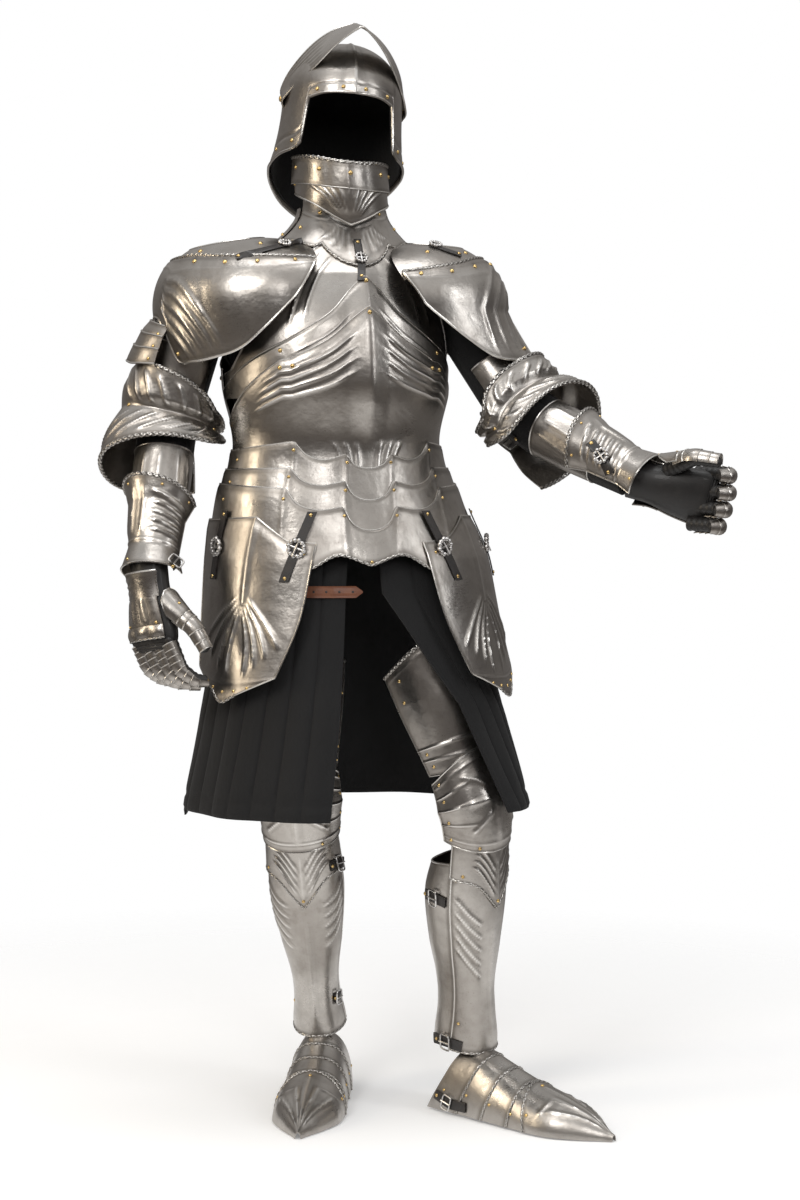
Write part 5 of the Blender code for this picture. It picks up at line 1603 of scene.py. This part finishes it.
@dataclass
class Arm:
    """One arm: sleeve, upper cannon, elbow guard, lower cannon and gauntlet cuff."""

    shop: Workshop
    name: str
    sleeve: tuple[tuple[float, ...], ...] = (
        (-0.27, 0.054, 0.056, 0.056), (-0.14, 0.049, 0.050, 0.050), (0.0, 0.044, 0.046, 0.048),
        (0.12, 0.042, 0.042, 0.042), (0.27, 0.032, 0.030, 0.030))
    lames: tuple[tuple[float, ...], ...] = (
        (-0.22, 0.062, 0.060, 0.060), (-0.17, 0.066, 0.062, 0.062), (-0.145, 0.078, 0.068, 0.070),
        (-0.08, 0.090, 0.070, 0.072))
    elbow: tuple[tuple[float, ...], ...] = (
        (-0.10, 0.072, 0.070, 0.072), (-0.04, 0.086, 0.072, 0.076), (0.0, 0.092, 0.070, 0.076),
        (0.05, 0.102, 0.074, 0.090), (0.10, 0.106, 0.080, 0.096))

    def build(self) -> None:
        """Build the arm from the shoulder down."""
        joints, fronts, outward, lower = ARM_JOINTS[self.name]
        name = self.name
        inside = Limb(joints, fronts, self.sleeve, outward)
        cloth = Plate(inside, (0, 360), (-0.236, 0.242), 0.0, CLOTH, pitch=0.006,
                      relief=lambda u, t: 0.0030 * abs(math.sin(math.pi * u * 9)) ** 0.6)
        self.shop.plates(f"sleeve_{name}", [cloth], QUILT, slot="quilted_cloth")
        self.shop.plates(f"rerebrace_{name}", [Plate(
            inside, (-60, 200), (-0.137 + 1.4 * lower, -0.050), 0.0052, rims=rolled(Side.LOW, Side.TOP),
            rivets=((0.15, 0.8), (0.5, 0.8), (0.85, 0.8)))])
        if name == "right":
            over = Limb(joints, fronts, self.lames, outward)
            edges = (((0, 26), (1, 30)), ((0, 140), (1, 134)))
            foot = ((0, -0.0965), (0.3, -0.085), (1, -0.085))
            whole = Plate(over, edges, (foot, -0.160), 0.0, rims=rolled(Side.LOW, Side.TOP, radius=0.0018),
                          rivets=((0.08, 0.3), (0.92, 0.3)), rivet=0.0030)
            self.shop.plates(f"pauldron_lames_{name}", steps(whole, 3, 0.06, 0.0014, True))
        self.guard(joints, fronts, outward, lower)
        waves = fan(5, ((0.30, 0.06), (0.22, 0.92)), ((0.70, 0.06), (0.78, 0.92)), 0.0, 0.0026, 0.0075)
        self.shop.plates(f"vambrace_{name}", [Plate(
            inside, (-150, 150), (0.060, 0.180), 0.0050, rims=rolled(Side.LOW, Side.TOP), flutes=waves)])
        flare = ((0, 0.012), (0.25, 0.002), (0.75, 0.0022), (1, 0.013))
        head = Curve(((0, 0.150), (0.5, 0.118), (1, 0.145)))
        waves = fan(5, ((0.42, 0.34), (0.40, 0.90)), ((0.86, 0.34), (0.84, 0.90)), 0.0, 0.0034, 0.0075)
        waves += fan(5, ((0.06, 0.80), (0.36, 0.84)), ((0.06, 0.40), (0.36, 0.42)), 0.001, 0.0046, 0.0060)
        belt = (Flute((0.0, 0.30), (1.0, 0.30), 0.0, 0.0016, 0.0035, True),)
        self.shop.plates(f"gauntlet_cuff_{name}", [Plate(
            inside, (-90, 180), (0.272, head), 0.0052, flutes=waves + belt, pitch=0.0029,
            swell=lambda u, t: blend(flare, t),
            rims=roped(Side.TOP, radius=0.0034) + rolled(Side.LOW, Side.FIRST, Side.LAST),
            rivets=((0.08, 0.93), (0.30, 0.93), (0.55, 0.93), (0.80, 0.93), (0.10, 0.06), (0.50, 0.06)),
            rivet=0.0028)])

    def guard(self, joints: Sequence, fronts: Sequence, outward: int, lower: float) -> None:
        """Build the elbow guard, with its waist crease and its two fans of flutes."""
        bell = Limb(joints, fronts, self.elbow, outward)
        top = ((0, -0.010), (0.10, -0.040), (0.18, -0.068), (0.30, -0.088), (0.55, -0.097), (1, -0.080))
        top = Curve(tuple((share, min(-0.010, number + lower)) for share, number in top))
        low = Curve(((0, 0.016), (0.14, 0.050), (0.32, 0.055), (0.50, 0.070), (0.75, 0.092), (1, 0.085)))
        up = fan(8, ((0.09, 0.56), (0.07, 0.93)), ((0.48, 0.55), (0.62, 0.92)), -0.005, 0.0042, 0.0064)
        down = fan(7, ((0.10, 0.45), (0.14, 0.06)), ((0.46, 0.45), (0.66, 0.08)), 0.006, 0.0042, 0.0066)
        self.shop.plates(f"couter_{self.name}", [Plate(
            bell, (-92, 205), (low, top), flutes=up + down, pitch=0.0031,
            swell=lambda u, t: -0.010 * max(0.0, 1 - abs(t - 0.5) / 0.2) ** 1.2,
            rims=roped(Side.TOP, Side.LOW, radius=0.0036) + rolled(Side.FIRST, Side.LAST),
            rivets=((0.50, 0.5), (0.08, 0.5), (0.75, 0.93), (0.90, 0.5)))])


@dataclass(frozen=True)
class Grip:
    """The places and directions of one glove."""

    outward: int
    wrist: tuple[float, float, float]
    knuckles: tuple[float, float, float]
    back: tuple[float, float, float]
    index: tuple[float, float, float]
    little: tuple[float, float, float]
    bends: tuple[tuple[float, float, float], ...]
    thumb: tuple[float, float, float]
    thumb_bends: tuple[tuple[float, float, float], ...]
    reach: float


@dataclass
class Gauntlet:
    """One leather glove with the steel of its hand: back plates, thumb plates and finger scales."""

    shop: Workshop
    name: str
    grip: Grip
    palm: tuple[tuple[float, ...], ...] = ((0.0, 0.030, 0.024, 0.024), (0.05, 0.040, 0.022, 0.024),
                                           (0.09, 0.044, 0.017, 0.018), (0.115, 0.038, 0.011, 0.012))
    finger: tuple[tuple[float, ...], ...] = ((0.0, 0.0115, 0.0115, 0.0115), (0.045, 0.0108, 0.0108, 0.0108),
                                             (0.10, 0.0085, 0.0085, 0.0085))

    def digit(self, start: Vector, bends: Sequence, lengths: Sequence[float], across: Vector) -> Limb:
        """Lay the axis of a finger."""
        points = [Vector(start)]
        for bend, length in zip(bends, lengths):
            points.append(points[-1] + Vector(bend).normalized() * length)
        return Limb(points, [across] * len(points), self.finger, 1, 0.008, 0.0)

    def skin(self, form: Form, first: float, last: float, lift: float) -> bmesh.types.BMesh:
        """Build a closed leather tube with a rounded tip."""
        shape = bmesh.new()
        bmesh.ops.create_grid(shape, x_segments=18, y_segments=40, size=0.5)
        for vert in shape.verts:
            share = vert.co.y + 0.5
            tip = min(1.0, (1 - share) / 0.07)
            rounded = (1 - math.sqrt(max(0.0, 1 - (1 - tip) ** 2))) * TIP_DEPTH
            grow = lift + 0.0005 * math.sin(share * 60) - rounded
            vert.co = form.at(360 * (vert.co.x + 0.5), first + (last - first) * share, grow)
        tidy(shape)
        for face in shape.faces:
            face.smooth = True
        return shape

    def build(self) -> None:
        """Build the glove and its steel."""
        grip = self.grip
        palm = Limb((grip.wrist, grip.knuckles), (grip.back, grip.back), self.palm, grip.outward, start=0.0)
        across = Vector(grip.index) - Vector(grip.little)
        back = Vector(grip.back).normalized()
        shapes, scales = [], []
        hand = Plate(palm, (0, 360), (grip.reach, 0.100), -0.0002, 0.0030, pitch=0.004)
        shapes.append(hand.shape())
        shapes.append(self.skin(palm, 0.070, 0.112, 0.0014))
        for k in range(4):
            start = Vector(grip.little) + across * (k / 3) - Vector(grip.bends[0]).normalized() * 0.012
            size = (0.86, 0.96, 1.0, 0.94)[k]
            form = self.digit(start, grip.bends, [0.058 * size, 0.030 * size, 0.024 * size], across)
            shapes.append(self.skin(form, 0.0, 0.111 * size, 0.0005))
            _, side, _, _ = form.frame(0.03)
            middle = 90 if side.dot(back) > 0 else -90
            for j in range(8):
                low, high = (0.010 + 0.0122 * j) * size, (0.010 + 0.0122 * j + 0.0165) * size
                scales.append(Plate(form, (middle - 82, middle + 82), (low, high), 0.0010, 0.0009,
                                    pitch=0.0042,
                                    swell=lambda u, t: 0.0020 * (1 - t),
                                    rims=rolled(Side.LOW, radius=0.0009)))
        thumb = self.digit(Vector(grip.thumb), grip.thumb_bends, [0.066, 0.046], across)
        shapes.append(self.skin(thumb, 0.0, 0.112, 0.0005))
        self.shop.piece(f"worked_glove_{self.name}", shapes, (GLOVE,), slot="black_leather",
                        node=f"glove_{self.name}")
        self.shop.piece(f"finger_scales_{self.name}", [scale.shape() for scale in scales],
                        (STEEL, HIGHLIT_RIM_STEEL, BRASS))
        lift = 0.0034 if self.name == "right" else 0.0048
        whole = Plate(thumb, (-100, 100), (0.034, 0.108), lift, 0.0014, rims=rolled(Side.TOP, radius=0.0011),
                      pitch=0.0034)
        shield = Plate(thumb, (((0, -12), (0.2, -50), (0.6, -84), (1, -88)),
                               ((0, 12), (0.2, 50), (0.6, 84), (1, 88))),
                       (-0.006, 0.044), lift + 0.0030, 0.0014, rims=rolled(*Side, radius=0.0012),
                       pitch=0.0030,
                       swell=lambda u, t: 0.0085 * (1 - t), rivets=((0.5, 0.62),), rivet=0.0028)
        self.shop.plates(f"thumb_plates_{self.name}", steps(whole, 4, 0.06, 0.0009, True) + [shield])
        ribs = fan(3, ((0.30, 0.10), (0.26, 0.92)), ((0.78, 0.10), (0.80, 0.92)), 0.0, 0.0026, 0.0056)
        waves = fan(3, ((0.45, 0.25), (0.92, 0.25)), ((0.45, 0.75), (0.92, 0.75)), 0.0, 0.0022, 0.0050)
        made = [
            Plate(palm, (-52, 102), (-0.018, 0.024), 0.0047, pitch=0.0030, flutes=waves,
                  rivets=((0.90, 0.85),),
                  rivet=0.0028, rims=rolled(Side.LOW, Side.FIRST, Side.LAST),
                  swell=lambda u, t: 0.0060 * (1 - t) ** 1.5),
            Plate(palm, (-44, 98), (0.016, 0.074), 0.0040, pitch=0.0030, flutes=ribs, rivet=0.0028,
                  rims=rolled(Side.TOP, Side.LOW, Side.FIRST, Side.LAST),
                  rivets=((0.92, 0.16), (0.90, 0.62), (0.66, 0.90), (0.10, 0.88)))]

        def bumps(u: float, t: float) -> float:
            """Give the height of the four knuckles."""
            return 0.0030 * abs(math.sin(math.pi * (u * 4))) ** 0.8 * math.sin(math.pi * t)

        knuckle = Plate(palm, (-44, 94), (0.071, 0.092), 0.0052, pitch=0.0026,
                        rims=roped(Side.TOP, radius=0.0017), relief=bumps)
        self.shop.plates(f"hand_plate_{self.name}", made + [knuckle])


@dataclass
class Leg:
    """One leg: thigh plate, knee guard and pointed lame, greave halves and shoe."""

    shop: Workshop
    name: str
    outward: int
    joints: tuple[tuple[float, float, float], ...]
    fronts: tuple[tuple[float, float, float], ...]
    heel: tuple[float, float, float]
    toe: tuple[float, float, float]
    instep: float
    shin: float
    rings: tuple[tuple[float, ...], ...] = (
        (-0.40, 0.085, 0.088, 0.088), (-0.20, 0.078, 0.080, 0.084), (-0.08, 0.066, 0.056, 0.070),
        (0.0, 0.060, 0.048, 0.062), (0.08, 0.064, 0.050, 0.070), (0.16, 0.067, 0.054, 0.088),
        (0.25, 0.056, 0.052, 0.078), (0.32, 0.044, 0.050, 0.060), (0.37, 0.043, 0.056, 0.054),
        (0.42, 0.049, 0.062, 0.056))
    shoe: tuple[tuple[float, ...], ...] = (
        (0.0, 0.034, 0.075, 0), (0.06, 0.043, 0.105, 0), (0.12, 0.048, 0.107, 0), (0.18, 0.052, 0.086, 0),
        (0.24, 0.056, 0.064, 0), (0.30, 0.053, 0.049, 0), (0.345, 0.033, 0.034, 0), (0.395, 0.004, 0.010, 0))

    def build(self) -> None:
        """Build the leg from the hip down."""
        form = Limb(self.joints, self.fronts, self.rings, self.outward)
        self.thigh(form)
        self.shank(form)
        self.foot()

    def thigh(self, form: Limb) -> None:
        """Build the thigh plate and the knee guard."""
        low = Curve(((0, -0.075), (0.5, -0.060), (1, -0.080)))
        high = Curve(((0, -0.255), (0.5, -0.300), (1, -0.275)))
        lines = (Flute((0, 0.14), (1, 0.14), 0.0, 0.0020, 0.004, True),
                 Flute((0, 0.25), (1, 0.25), 0.0, 0.0020, 0.004, True),
                 Flute((0.0, 0.94), (1.0, 0.94), 0.0, 0.0016, 0.004, True))
        self.shop.plates(f"cuisse_{self.name}", [Plate(
            form, (-100, 115), (low, high), flutes=lines, rims=roped(Side.TOP) + rolled(Side.FIRST,
                Side.LAST, Side.LOW),
            rivets=((0.10, 0.88), (0.07, 0.70), (0.06, 0.20), (0.07, 0.08), (0.88, 0.20), (0.88, 0.08)),
            rivet=0.0032)])
        bulge = ((0, 0), (0.15, 0.003), (0.5, 0.009), (0.85, 0.003), (1, 0))
        top = Curve(((0, -0.060), (0.45, -0.095), (0.75, -0.085), (1, -0.050)))
        foot = Curve(((0, 0.045), (0.45, 0.060), (0.75, 0.055), (1, 0.035)))
        keel = (Flute((0.47, 0.06), (0.47, 0.94), 0.0, 0.0034, 0.011),)
        rays = fan(3, ((0.42, 0.40), (0.24, 0.20)), ((0.42, 0.60), (0.24, 0.82)), 0.0, 0.0036, 0.0080)
        rays += fan(3, ((0.53, 0.40), (0.70, 0.20)), ((0.53, 0.60), (0.70, 0.82)), 0.0, 0.0036, 0.0080)
        bands = tuple(Flute((0, t), (far, t), 0.0, 0.0020, 0.004, True)
                      for t, far in ((0.10, 1.0), (0.90, 1.0), (0.30, 0.32), (0.52, 0.24), (0.72, 0.32)))
        self.shop.plates(f"poleyn_{self.name}", [Plate(
            form, (-100, 112), (foot, top), 0.0034, flutes=keel + rays + bands,
            swell=lambda u, t: blend(bulge, t), rims=rolled(Side.TOP, Side.LOW, Side.FIRST, Side.LAST),
            rivets=((0.06, 0.92), (0.06, 0.66), (0.06, 0.34), (0.06, 0.08), (0.30, 0.05), (0.92, 0.92),
                    (0.92, 0.08)),
            rivet=0.0032)])
        tip = Curve(((0, 0.108), (0.3, 0.120), (0.5, 0.168), (0.7, 0.120), (1, 0.108)), (0.5,))
        rays = mirrored(fan(4, ((0.47, 0.10), (0.24, 0.38)), ((0.48, 0.46), (0.28, 0.80)), 0.002, 0.0042,
                            0.0080))
        self.shop.plates(f"knee_lame_{self.name}", [Plate(
            form, (-88, 88), (tip, 0.030), -0.0002, flutes=rays + (Flute((0.5, 0.02), (0.5, 0.75), 0.0,
                0.0022, 0.008),),
            rims=roped(Side.LOW, radius=0.0021) + rolled(Side.FIRST, Side.LAST),
            rivets=((0.14, 0.12), (0.86, 0.12), (0.5, 0.10)), rivet=0.0032)])

    def shank(self, form: Limb) -> None:
        """Build both halves of the greave."""
        waves = fan(5, ((0.05, 0.82), (0.36, 0.66)), ((0.05, 0.56), (0.36, 0.38)), 0.001, 0.0046, 0.0078)
        if self.name == "right":
            waves = fan(5, ((0.94, 0.86), (0.62, 0.72)), ((0.94, 0.66), (0.64, 0.48)), -0.006, 0.0040, 0.0085)
            waves += fan(5, ((0.06, 0.86), (0.36, 0.72)), ((0.06, 0.66), (0.34, 0.48)), 0.006, 0.0040, 0.0085)
        waves += (Flute((0.5, 0.02), (0.5, 0.72), 0.0, 0.0024, 0.012),)
        self.shop.plates(f"greave_front_{self.name}", [Plate(
            form, (-87, 87), (self.shin, 0.075), -0.0035, flutes=waves,
            rims=roped(Side.LOW, radius=0.0024) + rolled(Side.TOP, Side.FIRST, Side.LAST),
            rivets=((0.06, 0.90), (0.94, 0.90), (0.06, 0.14), (0.94, 0.14)), rivet=0.0030)])
        self.shop.plates(f"greave_back_{self.name}", [Plate(
            form, (87.45, 272.55), (Curve(((0, 0.420), (0.5, 0.450), (1, 0.420))),
                                    Curve(((0, 0.085), (0.5, 0.110), (1, 0.085)))), -0.0035,
            rims=rolled(Side.LOW, Side.TOP, Side.FIRST, Side.LAST),
            flutes=(Flute((0.5, 0.10), (0.5, 0.85), 0.0, 0.0026, 0.012),))])

    def foot(self) -> None:
        """Build the shoe's lames and its pointed cap."""
        foot = Limb((self.heel, self.toe), ((0, 0, 1), (0, 0, 1)), self.shoe, self.outward, 0.01, 0.0)
        back = Curve(((0, 0.030), (0.2, 0.070), (0.5, self.instep), (0.8, 0.070), (1, 0.030)))
        whole = Plate(foot, (-88, 88), (back, 0.255), 0.0018, rims=roped(Side.TOP, radius=0.0022),
                      rivets=((0.10, 0.3), (0.90, 0.3)), rivet=0.0030)
        self.shop.plates(f"sabaton_lames_{self.name}", steps(whole, 4, 0.06, 0.0014, True))
        rays = fan(4, ((0.22, 0.24), (0.38, 0.92)), ((0.78, 0.24), (0.62, 0.92)), 0.0, 0.0044, 0.0080)
        rays += (Flute((0.5, 0.04), (0.5, 1.0), 0.0, 0.0042, 0.010),)
        rays += mirrored((Flute((0.47, 0.30), (0.16, 0.20), 0.006, 0.0026, 0.007),))
        self.shop.plates(f"sabaton_toe_{self.name}", [Plate(
            foot, (-88, 88), (Curve(((0, 0.250), (0.5, 0.230), (1, 0.250)), (0.5,)), 0.394), 0.0, flutes=rays,
            swell=lambda u, t: 0.0050 * (1 - t) ** 0.7, rims=roped(Side.LOW, radius=0.0026),
            rivets=((0.5, 0.10), (0.14, 0.06), (0.86, 0.06)), rivet=0.0034)])


HEAD_REACH = {
    "right": ((-60, 0.235), (-45, 0.222), (-22, 0.192), (0, 0.158), (25, 0.132), (62, 0.116), (95, 0.114),
              (130, 0.116), (160, 0.128), (190, 0.150), (215, 0.176), (235, 0.190)),
    "left": ((-60, 0.200), (-45, 0.180), (-22, 0.152), (0, 0.136), (25, 0.130), (62, 0.122), (95, 0.108),
             (130, 0.112), (160, 0.122), (190, 0.140), (215, 0.172), (235, 0.188)),
}
GRIPS = {
    "right": Grip(-1, (-0.326, -0.122, 0.930), (-0.316, -0.138, 0.828), (-0.55, -0.75, 0.1),
                  (-0.288, -0.158, 0.832), (-0.342, -0.112, 0.824),
                  ((0.38, -0.22, -0.90), (0.80, -0.05, -0.60), (0.95, 0.20, -0.15)),
                  (-0.300, -0.150, 0.900), ((0.75, -0.35, -0.60), (0.50, -0.20, -0.85)), -0.0475),
    "left": Grip(1, (0.492, -0.137, 1.096), (0.572, -0.158, 1.074), (0.20, 0.90, 0.35),
                 (0.578, -0.160, 1.112), (0.566, -0.160, 1.030),
                 ((0.80, -0.60, -0.05), (0.05, -1.0, -0.05), (-0.90, -0.40, 0.0)),
                 (0.520, -0.165, 1.118), ((0.55, -0.80, 0.27), (0.90, -0.40, -0.13)), -0.032),
}


@dataclass(frozen=True)
class Fastening:
    """A buckled strap: its route in pixels of the view, the pieces under it, and its buckle."""

    name: str
    route: tuple[Pair, ...]
    on: tuple[str, ...]
    buckle: float
    width: float
    fine: bool = False
    rivets: tuple[float, ...] = (0.06,)


COLLAR = ("gorget_front", "gorget_back", "breast_upper")
GREAVE_LEFT = ("greave_front_left", "greave_back_left")
GREAVE_RIGHT = ("greave_front_right", "greave_back_right")
FASTENINGS = (
    Fastening("shoulder_right", ((303, 241), (282, 246), (258, 252), (236, 258)),
              ("pauldron_right", "pauldron_top_right") + COLLAR, 0.30, 0.013, True, (0.95,)),
    Fastening("shoulder_left", ((396, 226), (406, 232), (421, 240), (440, 249), (461, 256)),
              ("pauldron_left", "pauldron_top_left") + COLLAR, 0.20, 0.013, True, (0.95,)),
    Fastening("greave_upper_left", ((404, 890), (424, 892), (446, 903)), GREAVE_LEFT, 0.45, 0.019),
    Fastening("greave_lower_left", ((416, 1032), (438, 1038), (462, 1047)), GREAVE_LEFT, 0.45, 0.019),
    Fastening("heel_left", ((434, 1092), (450, 1104), (466, 1108)), ("sabaton_lames_left",) + GREAVE_LEFT,
              0.40, 0.017),
    Fastening("greave_upper_right", ((330, 866), (342, 862), (347, 858)), GREAVE_RIGHT + ("knee_lame_right",),
              0.6, 0.019),
    Fastening("greave_lower_right", ((334, 998), (344, 992), (349, 988)), GREAVE_RIGHT, 0.5, 0.017),
    Fastening("forearm_left", ((590, 442), (602, 456), (610, 474)), ("gauntlet_cuff_left", "vambrace_left"),
              0.5, 0.016, True, (0.05, 0.95)),
    Fastening("elbow_left", ((517, 438), (500, 458), (488, 476)),
              ("couter_left", "vambrace_left", "sleeve_left"), 0.7, 0.017),
    Fastening("forearm_right", ((172, 566), (184, 552), (194, 534)),
              ("vambrace_right", "gauntlet_cuff_right", "sleeve_right"), 0.5, 0.016),
)


@dataclass
class Harness:
    """The straps and buckles that tie the plates to each other."""

    shop: Workshop

    def build(self) -> None:
        """Lay every strap along its place in the view."""
        buckles = Buckles(self.shop)
        for each in FASTENINGS:
            buckles.plain(each.name, each.route, each.on, each.buckle, each.width, each.fine, each.rivets)


@dataclass(frozen=True)
class Flank:
    """The place and the shape of one shoulder."""

    outward: int
    shoulder: tuple[float, float, float]
    turn: float
    tilt: float
    flare: float
    drift: float
    corner: Pair
    trim: float


SIDES = {
    "right": Flank(-1, (-0.212, 0.000, 1.390), 15, -9, -0.12, 0.0, (5, -44), 0),
    "left": Flank(1, (0.141, 0.060, 1.390), 22, 3, 0.12, 0.60, (0, -42), 20),
}
LEGS = {
    "right": dict(
        outward=-1, joints=((-0.095, 0.040, 0.930), (-0.0905, 0.070, 0.530), (-0.058, 0.200, 0.113)),
        fronts=((-0.1, -1, 0), (-0.1, -1, 0), (-0.08, -1, 0)), heel=(-0.045, 0.272, 0.0),
        toe=(-0.084, -0.100, 0.0), instep=0.112, shin=0.4229),
    "left": dict(
        outward=1, joints=((0.080, 0.030, 0.930), (0.2137, -0.030, 0.545), (0.197, 0.075, 0.113)),
        fronts=((0.5, -0.86, 0), (0.75, -0.66, 0), (0.79, -0.61, 0)), heel=(0.138, 0.118, 0.0),
        toe=(0.4610, -0.150, 0.0), instep=0.098, shin=0.4362),
}


def main() -> None:
    """Build the studio and every part of the suit."""
    logging.basicConfig(level=logging.INFO, format="%(message)s")
    shop = Workshop()
    Studio().build()
    Cuirass(shop).build()
    WaistAndHips(shop).build()
    ArmingCoat(shop).build()
    Helmet(shop).build()
    Neck(shop).build()
    for name, side in SIDES.items():
        form = Dome((0, 0, 0, 0.112), side.shoulder, side.turn, side.tilt, 0,
                    ((0, side.flare), (1, side.flare)), HEAD_REACH[name], side.outward, side.drift)
        Shoulder(shop, name, side.outward, form, side.corner, side.trim).build()
        Arm(shop, name).build()
        Gauntlet(shop, name, GRIPS[name]).build()
    for name, leg in LEGS.items():
        Leg(shop, name, **leg).build()
    Harness(shop).build()
    bpy.context.view_layer.update()
    LOG.info("%d pieces", shop.made)


if __name__ == "__main__":
    main()
